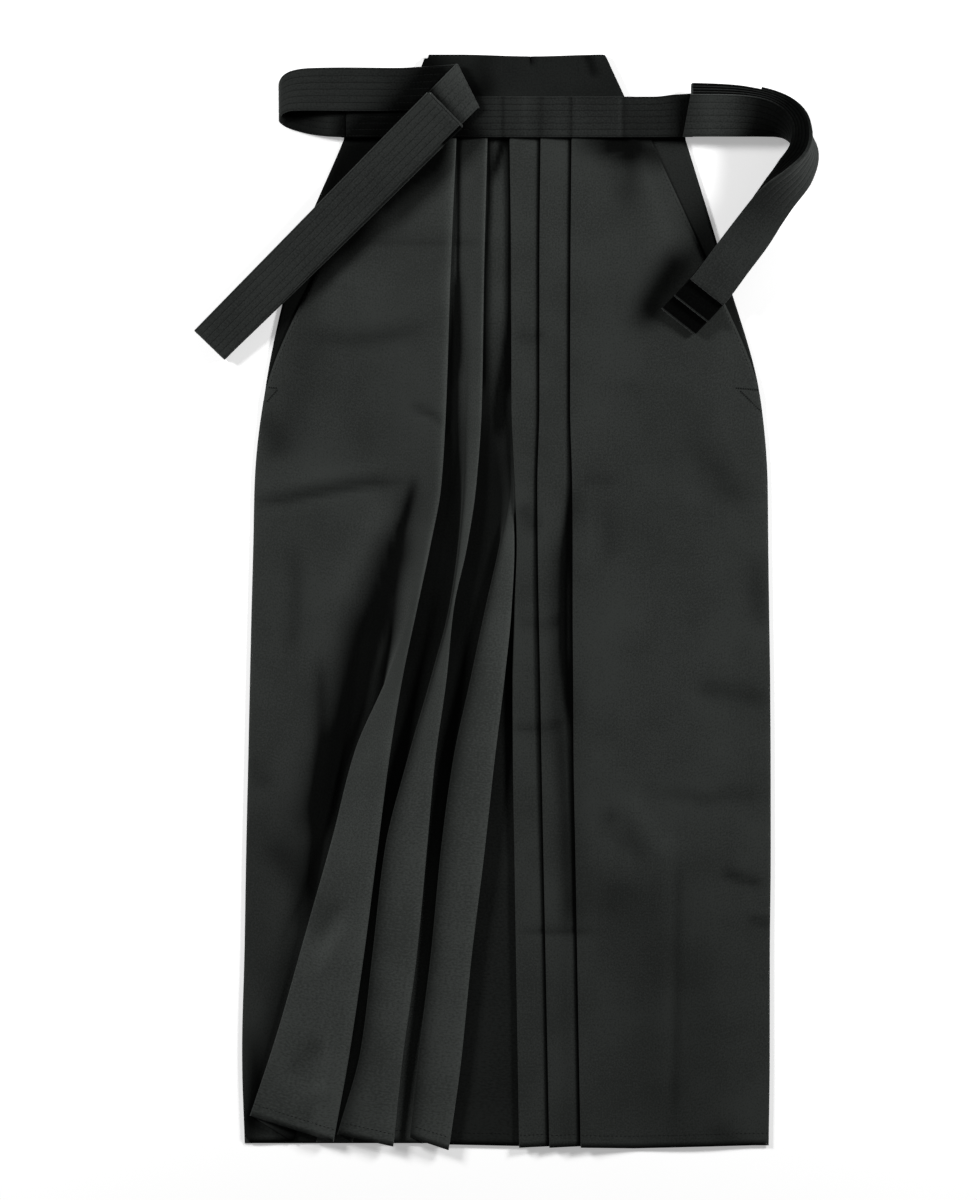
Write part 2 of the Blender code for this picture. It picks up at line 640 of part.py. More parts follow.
def track_row(row, layer):
    """Both edges of one layer where the track passes a station."""
    heading = math.radians(row.heading)
    tilt = math.radians(row.tilt)
    left = (-math.sin(heading), math.cos(heading))
    outward = (left[0] * math.sin(tilt), left[1] * math.sin(tilt), -math.cos(tilt))
    span = (left[0] * math.cos(tilt), left[1] * math.cos(tilt), math.sin(tilt))
    offset = layer * (TIE_STEP + row.gap)
    shift = layer * row.fan
    centre = (
        row.across + outward[0] * offset + span[0] * shift,
        WAIST_Y + row.rise + outward[1] * offset + span[1] * shift,
        row.height + outward[2] * offset + span[2] * shift,
    )
    half = TIE_WIDTH / 2
    return [tuple(c + sign * half * s for c, s in zip(centre, span)) for sign in (-1, 1)]


def make_left_tie():
    """Six layers side by side on one track, joined by folds at their ends."""
    runs = []
    for layer, reach in enumerate(LEFT_TIE_LAYERS):
        stations = LEFT_TIE_TRACK[reach.first:reach.last + 1]
        run = [track_row(station, layer) for station in stations]
        if layer and reach.first == 0:
            run[0] = [(p[0] + LEFT_TIE_START_LAP, p[1], p[2]) for p in run[0]]
        runs.append(run if layer % 2 == 0 else run[::-1])
    sheet("tie_front_left", zigzag(runs), BAND_CLOTH, "band")


BACK_TIE_LENGTH = 700.0
BackTie = namedtuple("BackTie", "name top_across end_across")
BACK_TIES = (BackTie("tie_back_right", -88.5, -204.0), BackTie("tie_back_left", 111.0, 170.0))


def make_back_ties():
    """The back ties lie straight down between front and back, square at both ends."""
    height = CLOTH + SEAM_GAP + TUCKED_TIE_CLOTH / 2
    for tie in BACK_TIES:
        start = (tie.top_across, WAIST_Y - BOARD_BOTTOM_DROP - SEAM_GAP)
        end = (tie.end_across, start[1] - BACK_TIE_LENGTH)
        rows = []
        for i in range(8):
            centre = [mix(a, b, i / 7) for a, b in zip(start, end)]
            rows.append([(centre[0] + side * BAND_WIDTH / 2, centre[1], height) for side in (-1, 1)])
        sheet(tie.name, rows, TUCKED_TIE_CLOTH, "band")


for leftover in list(bpy.data.objects):
    bpy.data.objects.remove(leftover)
garment = collection(NAME)
make_fronts()
make_backs()
make_wedges()
make_waistband()
make_board()
make_right_tie()
make_left_tie()
make_back_ties()
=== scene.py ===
"""Looks of a pair of hakama trousers laid flat on a floor, front up, the front ties folded up.

Sizes are in millimetres and become metres where a mesh is made, unless a name says otherwise. The
waist is at +Y. "drop" is the distance below the lower edge of the waistband, "across" is measured
from the middle of the whole outline, and "height" is above the floor. Left and right in the names
are the wearer's, so the right leg lies on the -X side.
"""

import math
from collections import namedtuple

import bpy
import numpy as np
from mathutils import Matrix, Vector, noise


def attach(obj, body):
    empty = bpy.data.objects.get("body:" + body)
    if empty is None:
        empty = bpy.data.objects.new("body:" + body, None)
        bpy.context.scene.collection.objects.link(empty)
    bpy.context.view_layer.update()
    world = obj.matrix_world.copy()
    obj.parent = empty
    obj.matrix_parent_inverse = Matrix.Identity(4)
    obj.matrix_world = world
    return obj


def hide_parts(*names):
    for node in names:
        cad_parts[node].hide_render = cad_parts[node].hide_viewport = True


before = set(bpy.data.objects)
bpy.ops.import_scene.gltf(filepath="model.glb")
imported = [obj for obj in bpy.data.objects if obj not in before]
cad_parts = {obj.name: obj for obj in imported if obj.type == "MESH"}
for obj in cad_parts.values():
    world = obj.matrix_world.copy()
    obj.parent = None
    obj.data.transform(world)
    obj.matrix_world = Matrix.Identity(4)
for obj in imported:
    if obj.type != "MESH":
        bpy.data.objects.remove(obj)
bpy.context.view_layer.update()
bpy.ops.object.select_all(action="DESELECT")
MM = 0.001
BODY = "root"


# ---------------------------------------------------------------------------------------------
# Floor, lights and camera. A pale board under the garment, lit a little from inside, two large soft
# lamps at the upper left and the upper right, and a long lens that looks straight down.
FLOOR_SIZE = 9.0
FLOOR_TONES = (0.93, 0.96)
LAMP_PLACE = (2.1, 1.25, 1.10)
LAMP_SIZE = (0.7, 0.5)
LAMP_WATTS = 72.0
PIXEL = 0.978
PICTURE = (977, 1200)
GARMENT_MIDDLE = (504.5, 601.5)
LENS = 180.0
SENSOR = 36.0


def fill(tree, made, **values):
    """Set a node's properties and sockets by name, _ for a space; a value that is a socket is linked."""
    for name, value in values.items():
        label = name.replace("_", " ")
        if label not in made.inputs:
            setattr(made, name, value)
        elif isinstance(value, bpy.types.NodeSocket):
            tree.links.new(value, made.inputs[label])
        else:
            made.inputs[label].default_value = value
    return made


def node(tree, kind, **values):
    return fill(tree, tree.nodes.new(kind), **values)


def spread(tree, value, *ends):
    """A value moved from one range to another: from low, from high, to low, to high."""
    made = node(tree, "ShaderNodeMapRange", Value=value)
    for label, end in zip(("From Min", "From Max", "To Min", "To Max"), ends):
        made.inputs[label].default_value = end
    return made.outputs["Result"]


def new_finish(name):
    """A new material, its node tree and its shader."""
    finish = bpy.data.materials.new(name)
    finish.use_nodes = True
    return finish, finish.node_tree, finish.node_tree.nodes["Principled BSDF"]


bpy.ops.mesh.primitive_plane_add(size=FLOOR_SIZE, location=(0, 0, 0))
floor = bpy.context.object
floor.name = "floor"
paint, tree, shader = new_finish("floor_paint")
grain = node(tree, "ShaderNodeTexNoise", Scale=14.0, Detail=3.0).outputs["Fac"]
fill(tree, shader, Base_Color=spread(tree, grain, 0.0, 1.0, *FLOOR_TONES), Roughness=0.9,
     Specular_IOR_Level=0.1, Emission_Color=(1.0, 1.0, 1.0, 1.0), Emission_Strength=0.35)
floor.data.materials.append(paint)

for name, side in (("lamp_left", -1), ("lamp_right", 1)):
    light = bpy.data.lights.new(name, "AREA")
    light.shape = "RECTANGLE"
    light.size, light.size_y = LAMP_SIZE
    light.energy = LAMP_WATTS
    holder = bpy.data.objects.new(name, light)
    holder.location = (side * LAMP_PLACE[0], *LAMP_PLACE[1:])
    holder.rotation_euler = (-holder.location).to_track_quat("-Z", "Y").to_euler()
    bpy.context.scene.collection.objects.link(holder)

room = bpy.data.worlds.new("room")
room.use_nodes = True
fill(room.node_tree, room.node_tree.nodes["Background"], Color=(1.0, 1.0, 1.0, 1.0), Strength=0.08)
bpy.context.scene.world = room
bpy.context.scene.view_settings.view_transform = "Standard"

lens = bpy.data.cameras.new("camera")
lens.lens = LENS
lens.sensor_width = SENSOR
lens.clip_end = 50.0
camera = bpy.data.objects.new("camera", lens)
camera.location = (
    (PICTURE[0] / 2 - GARMENT_MIDDLE[0]) * PIXEL * MM,
    (GARMENT_MIDDLE[1] - PICTURE[1] / 2) * PIXEL * MM,
    PICTURE[1] * PIXEL * MM * LENS / SENSOR,
)
bpy.context.scene.collection.objects.link(camera)
bpy.context.scene.camera = camera


# ---------------------------------------------------------------------------------------------
# Right front. One leg's front: a broad panel at the side, three pleats that were pressed at the
# waist and have opened into a fan at the hem, and a flat strip at the centre. Black plain-woven
# cotton and polyester, sewn under the waistband and hemmed at the foot.
FRONT_LENGTH = 985.0
WAIST_Y = 453.3
TOP_DROP = -5.0
CLOTH = 0.8
WALL = 1.0
SEAM_GAP = 0.3
LAYER_STEP = WALL + SEAM_GAP
TIGHT = LAYER_STEP / 2
FLOOR_LAYER = WALL / 2 + LAYER_STEP
PANEL_HEIGHT = 3.3
# The side edge lies on the wedge down to VENT_DROP, then comes down to the back over VENT_END.
VENT_DROP = 245.0
VENT_END = 35.0
SIDE_ROLL = 15.0
SHOULDER_SHARE = 0.4
PANEL_SOFTNESS = 1.6
UNDERLAP = 18.0
# Where the panel stops beside the first pleat, and how it climbs to it while the pleat is pressed.
CLIMB = 48.0
FOOT_ROOM = 4.0
RIDGE_ROOM = 6.0
VALLEY_ROOM = 8.0
SIDE_ROOM = 12.0
# Radii of the folds: a valley is round while its pleat floats and tight once it is tucked back.
OPEN_VALLEY = 2.0
TUCK_START = -4.0
TUCK_SPAN = 14.0
RIDGE_RADIUS = 1.5
RIDGE_SHARE = 0.2
# Where the folds of a pressed pleat will come, on the straight cloth that is there instead.
FLAT_SPREAD = 2.4
FLAT_VALLEY = 6.0
FLAT_EDGE = 0.75
FLAT_UNDER = 0.9
# Painted shading of the folds, which darkens or lightens the cloth's colour: 1 is full painted shade deep
# inside an open pleat, 0 is none on the panels, and below 0 is painted light on the tops and edges that face
# the lamps.
PAINTED_TOP_LIGHT = -0.5
PAINTED_EDGE_HIGHLIGHT = -0.9
PAINTED_RIDGE_SHADE = 0.55
PAINTED_LIGHT_HIDES_SHADE = 1.1
UNDER_STRIP = 0.66
DEEP_FALL = 2
FACET_FALL = 4
EDGE_FALL = 9
# How fine the mesh is.
ROW_STEP = 6.0
FOLD_CORNERS = 8
ROLL_COLUMNS = 4
PANEL_COLUMNS = 40
FACET_COLUMNS = 11
HIDDEN_COLUMNS = 5
SHORT_COLUMNS = 2
FOOT_COLUMN = ROLL_COLUMNS + PANEL_COLUMNS

STATIONS = (0, 130, 260, 340, 400, 460, 530, 610, 700, 800, 900, 985)
RIGHT_LEG = {
    #            0     130     260     340     400     460     530     610     700     800     900     985
    "side": (-118.8, -184.0, -236.0, -244.3, -245.6, -247.2, -248.8, -250.5, -252.5, -254.2, -256.6, -254.0),
    "ridge_1": (-87.5, -87.5, -87.5, -87.8, -90.5, -93.2, -112.5, -145.6, -168.0, -195.0, -222.0, -248.5),
    "crease_1": (-47.4, -53.1, -57.4, -62.2, -73.0, -85.6, -100.2, -113.2, -124.7, -137.6, -152.3, -167.5),
    "ridge_2": (-35.0, -35.0, -38.0, -40.0, -45.0, -53.5, -71.3, -94.0, -116.3, -128.0, -140.0, -163.0),
    "crease_2": (-17.1, -20.4, -22.6, -28.1, -37.1, -50.0, -57.2, -68.4, -76.7, -86.3, -100.2, -109.0),
    "ridge_3": (4.0, 4.0, 4.0, 5.0, -4.8, -18.0, -32.6, -49.6, -61.7, -71.2, -83.3, -92.5),
    "crease_3": (7.0, 7.0, 7.0, 8.0, 9.2, 6.4, -0.7, -10.5, -20.5, -32.9, -43.0, -54.9),
    "inner": (20.4, 22.0, 22.3, 25.7, 27.4, 24.9, 23.3, 23.7, 25.1, 26.7, 28.4, 29.7),
}
# Painted shade inside the open pleats, from the waist down: less where the fan is wide and light gets in, and
# painted light below zero.
DEEP = (0.9, 0.9, 0.9, 0.9, 0.9, 0.88, 0.82, 0.6, 0.1, -0.5, -0.8, -0.9)
NOWHERE = (0,) * len(STATIONS)

# How each floating pleat stands: height of its top, how far the cloth is tucked back under the ridge and
# under the crease, how far the ridge has opened out of the flat cloth, and how much painted shade lies in the
# valley and on the rest while it is flat.
PLEATS = (
    {
        "height": (6.0, 6.0, 6.6, 8.0, 9.5, 11.0, 12.0, 12.5, 12.0, 11.0, 9.5, 8.0),
        "tuck":   (-14, -14, -14, -14, -14, -14, -4, 10, 22, 32, 40, 42),
        "under":  (18, 18, 18, 18, 18, 14, 10, 14, 16, 18, 18, 16),
        "folded": (0, 0, 0, 0, 0, 0.4, 1, 1, 1, 1, 1, 1),
        "gap":    NOWHERE,
        "flat":   NOWHERE,
    },
    {
        "height": (6.0, 6.0, 6.8, 8.5, 10.0, 11.5, 12.5, 12.5, 12.0, 11.0, 9.5, 8.0),
        "tuck":   (-10, -10, -8, -2, 0, 0, 3, 8, 14, 14, 14, 14),
        "under":  (18, 18, 16, 7, 5, 2, 5, 10, 15, 15, 15, 14),
        "folded": (0, 0, 0.5, 1, 1, 1, 1, 1, 1, 1, 1, 1),
        "gap":    (0, 0, 1, 1, 1, 1, 1, 1, 1, 1, 1, 1),
        "flat":   NOWHERE,
    },
    {
        "height": (1.8, 1.8, 1.8, 3.2, 7.0, 9.0, 10.5, 11.5, 11.0, 10.0, 9.0, 8.0),
        "tuck":   (-18, -18, -18, -9, 1, 8, 12, 14, 14, 14, 14, 12),
        "under":  (-4, -4, -4, -4, 3, 8, 12, 14, 14, 14, 14, 12),
        "folded": (0, 0, 0, 0.5, 1, 1, 1, 1, 1, 1, 1, 1),
        "gap":    (0, 0, 0.7, 1, 1, 1, 1, 1, 1, 1, 1, 1),
        "flat":   (0, 0, 0.55, 1, 1, 1, 1, 1, 1, 1, 1, 1),
    },
)
RIGHT_PANEL = {
    "height": (3.3, 3.3, 3.3, 3.3, 3.3, 3.3, 3.3, 3.3, 3.3, 2.8, 1.9, 1.8),
    "arch":   (1.8, 2.2, 2.4, 2.4, 2.6, 2.8, 2.8, 2.6, 2.2, 1.4, 0.3, 0.0),
}
# Where each line's lower end lies, because the floating pleats hang askew. A line that isn't named
# ends at the full length.
HEM = {
    "right_side": 976.0, "right_shoulder": 982.0, "right_foot": 982.5, "inner": 986.0,
    "valley_1": 981.0, "ridge_1": 956.0, "crease_1": 981.0, "under_1": 982.0,
    "valley_2": 982.0, "ridge_2": 974.0, "crease_2": 985.5, "under_2": 982.0,
    "valley_3": 983.0, "ridge_3": 977.0, "crease_3": 989.0, "under_3": 984.0,
    "left_foot": 988.0, "left_crease_1": 987.0, "left_crease_2": 987.0, "left_crease_3": 987.0,
    "left_under_3": 985.0,
}
Knot = namedtuple("Knot", "across height hem hollow")
Fold = namedtuple("Fold", "name across height radius turn hollow")


def table(columns, *rows):
    """Rows of values under named columns; the last column is 0 where a row leaves it out."""
    row_type = namedtuple("Row", columns, defaults=(0.0,))
    return [row_type(*row) for row in rows]


# Soft creases that storage and handling left, and lines of painted shading: points (across, drop) from end to
# end, how wide, how high, below zero for a trough, and how much painted shade lies along each, below zero
# painted light. Rows that are not raised only paint shade, such as the shadows of the ties. They fade out
# towards both ends.
CREASE = "points width height hollow"
CREASE_FADE = 45.0
CREASE_FADE_SHARE = 0.3
RIGHT_CREASES = table(
    CREASE,
    (((-44.6, -60), (-44.9, 60), (-45.6, 130), (-47.4, 190), (-51, 250)), 2.6, 0, 1.0),
    (((-46, 120), (-46, 180), (-47, 240)), 6.5, 0, 0.75),
    (((-15.2, -60), (-15.8, 60), (-18.6, 130), (-20.6, 260)), 2.4, 0, 1.0),
    (((3.6, -60), (5.0, 60), (4.6, 130), (4.5, 260)), 2.6, 0, 1.0),
    (((5, 170), (2, 210), (-3, 250), (-6, 300)), 6.0, 0, 0.9),
    (((6, -40), (-2, 4), (-14, 50)), 4.5, -0.6, 1.2),
    (((-22, -40), (-72, 12), (-122, 66), (-196, 140), (-230, 176)), 18, 0, 1.0),
    (((-84, 322), (-96, 366), (-112, 413)), 5, 0, 0.7),
    (((-96, 370), (-124, 452), (-140, 500), (-155, 569), (-171, 615), (-190, 690)), 17, 0, 0.75),
    (((-134, 440), (-160, 560), (-184, 640), (-204, 740)), 27, 0, 0.35),
    (((-112, -50), (-132, 8), (-156, 40), (-206, 90)), 26, 0, 1.0),
    (((-30, 20), (-100, 24), (-150, 60), (-190, 120)), 30, 0, 0.25),
    (((-190, 150), (-200, 240), (-222, 330)), 22, 0, 0.30),
    (((-230, 620), (-238, 800), (-244, 1100)), 45, 0, 0.2),
    (((-160, 160), (-120, 260), (-130, 340)), 60, 0, 0.1),
    (((-262, 355), (-212, 353), (-170, 345), (-128, 337), (-84, 338)), 6, -2.2, 0.5),
    (((-230, 345), (-170, 334), (-120, 327), (-84, 330)), 8, 0.9),
    (((-87, 330), (-101, 392), (-119, 450), (-131, 510), (-153, 590), (-177, 680), (-206, 790), (-228, 870),
      (-244, 935), (-256, 1000)), 13, -3.2, 0.5),
    (((-112, 350), (-131, 400), (-153, 450), (-167, 510), (-173, 600), (-178, 690), (-188, 780)), 15, 6.0),
    (((-210, 392), (-203, 430), (-205, 480), (-218, 520)), 9, -1.1, 0.3),
    (((-180, 496), (-179, 560), (-181, 640), (-186, 740), (-190, 800)), 7, -1.5, 0.42),
    (((-96, 262), (-76, 268), (-62, 276), (-56, 292)), 4, -1.3, 0.4),
    (((-60, 176), (-90, 190), (-150, 200), (-204, 192)), 9, -0.8, 0.3),
    (((-150, 103), (-110, 103), (-62, 103), (2, 105)), 4, -0.6, 0.2),
    (((-228, 640), (-210, 700), (-214, 800)), 12, 0.9),
    (((-238, 620), (-230, 760), (-236, 880)), 10, -0.8),
    (((-198, 90), (-150, 150), (-120, 230)), 14, 0.8),
    (((-222, 240), (-180, 290), (-150, 320)), 12, 0.6),
    (((-190, 800), (-172, 770), (-152, 742)), 7, -2.0, 0.35),
    (((-186, 830), (-168, 792), (-150, 762)), 7, 1.8, -0.3),
    (((-214, 925), (-196, 905), (-176, 880)), 8, -1.8, 0.35),
    (((-205, 960), (-190, 935), (-168, 925)), 7, 1.8, -0.2),
    (((-184, 990), (-176, 930), (-168, 870)), 7, 1.6, -0.25),
    (((-192, 1010), (-190, 940), (-180, 860)), 6, -1.2, 0.3),
    (((-130, 1010), (-122, 930), (-120, 860)), 8, -1.0, 0.2),
    (((-246, 262), (-226, 290), (-218, 322)), 15, 0, 0.3),
    (((-106, 34), (-78, 20), (-50, 26)), 20, 0, 0.4),
    (((-250, 600), (-230, 640)), 13, 0, 0.28),
    (((-236, 680), (-206, 720), (-190, 752)), 15, 0, 0.28),
    (((-252, 850), (-244, 930), (-250, 1010)), 10, 0, 0.35),
    (((-152, 86), (-110, 70)), 11, 0, -0.2),
)
# The uneven swell of cloth that lies loose, longer down the cloth than across it.
WAVES = table("scale height seed", (70.0, 0.7, 0.0), (24.0, 0.22, 7.0))
WAVE_STRETCH = 1.6
DEEPEST_TROUGH = 0.4


def mix(a, b, share):
    return a + (b - a) * share


def along(knots, values, at):
    """Smooth value at one place from a row of values, a monotone cubic through the given knots."""
    at = min(max(at, knots[0]), knots[-1])
    secants = [(values[i + 1] - values[i]) / (knots[i + 1] - knots[i]) for i in range(len(knots) - 1)]
    inner = [0.0 if a * b <= 0 else 2 * a * b / (a + b) for a, b in zip(secants, secants[1:])]
    tangents = [secants[0], *inner, secants[-1]]
    i = 0
    while i < len(knots) - 2 and at > knots[i + 1]:
        i += 1
    span = knots[i + 1] - knots[i]
    t = (at - knots[i]) / span
    rise = values[i + 1] - values[i]
    start_pull = span * tangents[i] - rise
    end_pull = rise - span * tangents[i + 1]
    return values[i] + t * rise + t * (1 - t) * ((1 - t) * start_pull + t * end_pull)


def line(leg, name, drop):
    return along(STATIONS, leg[name], drop)


def fold(name, edge, facing, top, radius, turn, hollow=0.0):
    """A round fold whose outermost line is at edge and points to facing, +1 or -1 across."""
    return Fold(name, edge - facing * radius, top + turn * radius, radius, turn, hollow)


def heading_between(a, b):
    """Direction of the straight cloth from one fold to the next, tangent to both."""
    across, height = b.across - a.across, b.height - a.height
    shift = (b.turn * b.radius - a.turn * a.radius) / math.hypot(across, height)
    return math.atan2(height, across) - math.asin(max(-1.0, min(1.0, shift)))


def corner_knots(item, arriving, leaving):
    """Points round a fold at equal turns, from one heading to the other."""
    step = item.turn * ((item.turn * (leaving - arriving)) % math.tau) / FOLD_CORNERS
    reach = item.radius / math.cos(step / 2)
    knots = []
    for i in range(FOLD_CORNERS):
        heading = arriving + (i + 0.5) * step
        across = item.across + item.turn * reach * math.sin(heading)
        height = item.height - item.turn * reach * math.cos(heading)
        knots.append(Knot(across, height, HEM.get(item.name, FRONT_LENGTH), item.hollow))
    return knots


def wrapped(start, folds, end):
    """Points of a cloth that runs from start round each fold to end, a group for each fold's name."""
    ends = [Fold("", k.across, k.height, 0.0, 1, 0.0) for k in (start, end)]
    chain = [ends[0], *folds, ends[1]]
    headings = [heading_between(a, b) for a, b in zip(chain, chain[1:])]
    return {item.name: corner_knots(item, headings[i], headings[i + 1]) for i, item in enumerate(folds)}


def between(a, b, share):
    return Knot(*(mix(p, q, share) for p, q in zip(a, b)))


def flat_knots(name, start, end, middle, hollow):
    """Points on the straight line between two others, for a fold that hasn't opened yet."""
    share = (middle - start.across) / (end.across - start.across)
    spread = FLAT_SPREAD / (end.across - start.across)
    shares = [share + spread * (i / (FOLD_CORNERS - 1) - 0.5) for i in range(FOLD_CORNERS)]
    hem = HEM.get(name, FRONT_LENGTH)
    return [between(start, end, s)._replace(hem=hem, hollow=hollow) for s in shares]


def painted_shading_between(a, b, share, middle=None):
    """Painted shading on the way from a to b, which falls off from the stronger of them or towards a middle.
    """
    if middle is not None:
        return middle + (a - middle) * (1 - share)**FACET_FALL + (b - middle) * share**EDGE_FALL
    strong, weak, nearness = (a, b, 1 - share) if abs(a) > abs(b) else (b, a, share)
    return mix(weak, strong, nearness**(DEEP_FALL if strong > 0 else EDGE_FALL))


def joined(groups):
    """One row of points from groups, each with the number of points before it and their middle painted
    shading.
    """
    row = list(groups[0][1])
    for count, knots, *middle in groups[1:]:
        last = row[-1]
        for i in range(count):
            share = (i + 1) / (count + 1)
            hollow = painted_shading_between(last.hollow, knots[0].hollow, share, *middle)
            row.append(between(last, knots[0], share)._replace(hollow=hollow))
        row += knots
    return row


def side_height(drop):
    """The front's side edge lies on the wedge down to the end of the opening, then on the back."""
    on_wedge = FLOOR_LAYER + LAYER_STEP
    knots = (0, VENT_DROP, VENT_DROP + VENT_END, FRONT_LENGTH)
    return along(knots, (on_wedge, on_wedge, FLOOR_LAYER, FLOOR_LAYER), drop)


def panel_knots(leg, side, foot_across, panel, drop):
    """The broad panel beside the pleats, from its side edge to where it starts to climb."""
    height, arch = (along(STATIONS, panel[column], drop) for column in ("height", "arch"))
    edge = Knot(side, side_height(drop), HEM.get(f"{leg}_side", FRONT_LENGTH), 0.0)
    foot = Knot(foot_across, height, HEM[f"{leg}_foot"], 0.0)
    shoulder_at = min(side + SIDE_ROLL, mix(side, foot_across, SHOULDER_SHARE))
    shoulder = Knot(shoulder_at, height, HEM.get(f"{leg}_shoulder", FRONT_LENGTH), 0.0)
    row = [between(edge, shoulder, math.sin(i / ROLL_COLUMNS * math.pi / 2)) for i in range(ROLL_COLUMNS)]
    for i in range(PANEL_COLUMNS + 1):
        share = i / PANEL_COLUMNS
        swell = arch * math.sin(math.pi * share) ** PANEL_SOFTNESS
        row.append(between(shoulder, foot, share)._replace(height=height + swell))
    return row


def pleat_folds(number, values, ridge, crease, low, deep):
    """The four folds of a floating pleat: valley, ridge, crease and the fold under it."""
    top = values["height"]
    tucked = min(1.0, max(0.0, (values["tuck"] - TUCK_START) / TUCK_SPAN))
    valley_radius = mix(OPEN_VALLEY, TIGHT, tucked)
    ridge_radius = min(RIDGE_RADIUS, RIDGE_SHARE * (top - low))
    covered = max(deep, UNDER_STRIP) if number == len(PLEATS) else deep
    in_valley, on_ridge = (deep, PAINTED_RIDGE_SHADE) if number > 1 else (1.0, PAINTED_TOP_LIGHT)
    return [
        fold(f"valley_{number}", ridge + values["tuck"], 1, low, valley_radius, 1, in_valley),
        fold(f"ridge_{number}", ridge, -1, top, ridge_radius, -1, on_ridge),
        fold(f"crease_{number}", crease, 1, top, TIGHT, -1, PAINTED_EDGE_HIGHLIGHT),
        fold(f"under_{number}", crease - values["under"], -1, FLOOR_LAYER, TIGHT, 1, covered),
    ]


def right_front_row(drop):
    """Section across the right front: a panel, three pleats that open into a fan, a centre strip."""
    crease, ridge = (
        [line(RIGHT_LEG, f"{name}_{i}", drop) for i in (1, 2, 3)] for name in ("crease", "ridge")
    )
    values = [{column: along(STATIONS, pleat[column], drop) for column in pleat} for pleat in PLEATS]
    opened = [pleat["folded"] for pleat in values]
    side = line(RIGHT_LEG, "side", drop)
    low = mix(PANEL_HEIGHT, FLOOR_LAYER, opened[0])
    valley_start = ridge[0] + values[0]["tuck"] - 4 * TIGHT
    climb_start = mix(crease[0] - CLIMB, valley_start, opened[0])
    open_foot = max(min(ridge[0] - RIDGE_ROOM, valley_start - VALLEY_ROOM), side + SIDE_ROOM)
    foot = mix(climb_start - FOOT_ROOM, open_foot, opened[0])
    start = Knot(climb_start, low, HEM["valley_1"], 0.0)
    deep = along(STATIONS, DEEP, drop)
    inner = Knot(line(RIGHT_LEG, "inner", drop), FLOOR_LAYER, HEM["inner"], max(deep, UNDER_STRIP))

    pleats = [
        pleat_folds(i + 1, values[i], ridge[i], crease[i], FLOOR_LAYER if i else low, deep) for i in range(3)
    ]
    kept_flat = [pleats[0][2:], pleats[1][2:], []]
    folded_chain = [f for i in range(3) for f in (pleats[i] if opened[i] > 0 else kept_flat[i])]
    flat_chain = [f for i in range(3) for f in (pleats[i] if opened[i] >= 1 else kept_flat[i])]
    folded_groups = wrapped(start, folded_chain, inner)
    flat_groups = wrapped(start, flat_chain, inner)

    groups = [(0, panel_knots("right", side, foot, RIGHT_PANEL, drop))]
    before = start
    for i, pleat in enumerate(pleats):
        valley, roll, edge, under = (item.name for item in pleat)
        after = flat_groups[edge][0] if edge in flat_groups else inner
        valley_at = max(ridge[i] + min(values[i]["tuck"], -FLAT_VALLEY), before.across + FLAT_SPREAD)
        roll_at = max(ridge[i], before.across + 3 * FLAT_SPREAD)
        edge_at, under_at = (mix(before.across, after.across, share) for share in (FLAT_EDGE, FLAT_UNDER))
        bare = values[i]["flat"]
        flat = {
            valley: flat_knots(valley, before, after, valley_at, values[i]["gap"]),
            roll: flat_knots(roll, before, after, roll_at, bare),
            edge: flat_groups.get(edge) or flat_knots(edge, before, after, edge_at, bare),
            under: flat_groups.get(under) or flat_knots(under, before, after, under_at, bare),
        }
        bridges = (FACET_COLUMNS if i else SHORT_COLUMNS, HIDDEN_COLUMNS, FACET_COLUMNS, HIDDEN_COLUMNS)
        for item, count in zip(flat, bridges):
            target = folded_groups.get(item, flat[item])
            group = (count, [between(a, b, opened[i]) for a, b in zip(flat[item], target)])
            groups.append((*group, mix(bare, PAINTED_TOP_LIGHT, opened[i])) if item == edge else group)
        before = groups[-1][1][-1]
    groups.append((HIDDEN_COLUMNS, [inner]))
    return joined(groups)


def placed(row, drop):
    """Points of one section, with their painted shading: each line of the cloth runs to its own end at the
    hem.
    """
    points = []
    for knot in row:
        stretch = mix(1.0, knot.hem / FRONT_LENGTH, max(drop, 0.0) / FRONT_LENGTH)
        points.append((knot.across, WAIST_Y - drop * stretch, knot.height, knot.hollow))
    return points


def relief(points, creases):
    """Height and painted shading of the soft creases over each point, for an array of points."""
    across = points[..., 0]
    drop = WAIST_Y - points[..., 1]
    total, hollow = np.zeros((2, *across.shape))
    for crease in creases:
        lengths = [math.dist(a, b) for a, b in zip(crease.points, crease.points[1:])]
        run = sum(lengths)
        nearest = np.full(across.shape, np.inf)
        share = np.zeros(across.shape)
        done = 0.0
        for (x0, y0), (x1, y1), length in zip(crease.points, crease.points[1:], lengths):
            t = ((across - x0) * (x1 - x0) + (drop - y0) * (y1 - y0)) / length**2
            t = np.clip(t, 0.0, 1.0)
            gap = np.hypot(across - mix(x0, x1, t), drop - mix(y0, y1, t))
            closer = gap < nearest
            nearest = np.where(closer, gap, nearest)
            share = np.where(closer, (done + t * length) / run, share)
            done += length
        fade = np.minimum(share, 1 - share) * run / min(CREASE_FADE, CREASE_FADE_SHARE * run)
        fade = np.clip(fade, 0.0, 1.0)
        swell = fade * fade * (3 - 2 * fade) * np.exp(-((nearest / crease.width) ** 2))
        total += crease.height * swell
        hollow += crease.hollow * swell
    return total, hollow


def waviness(points, wave, seed):
    """Low uneven swell over each point, the same on every run."""
    scale = (wave.scale, wave.scale * WAVE_STRETCH)
    flat = points.reshape(-1, points.shape[-1])
    swell = [noise.noise(Vector((p[0] / scale[0], p[1] / scale[1], seed + wave.seed))) for p in flat]
    return wave.height * np.array(swell).reshape(points.shape[:-1])


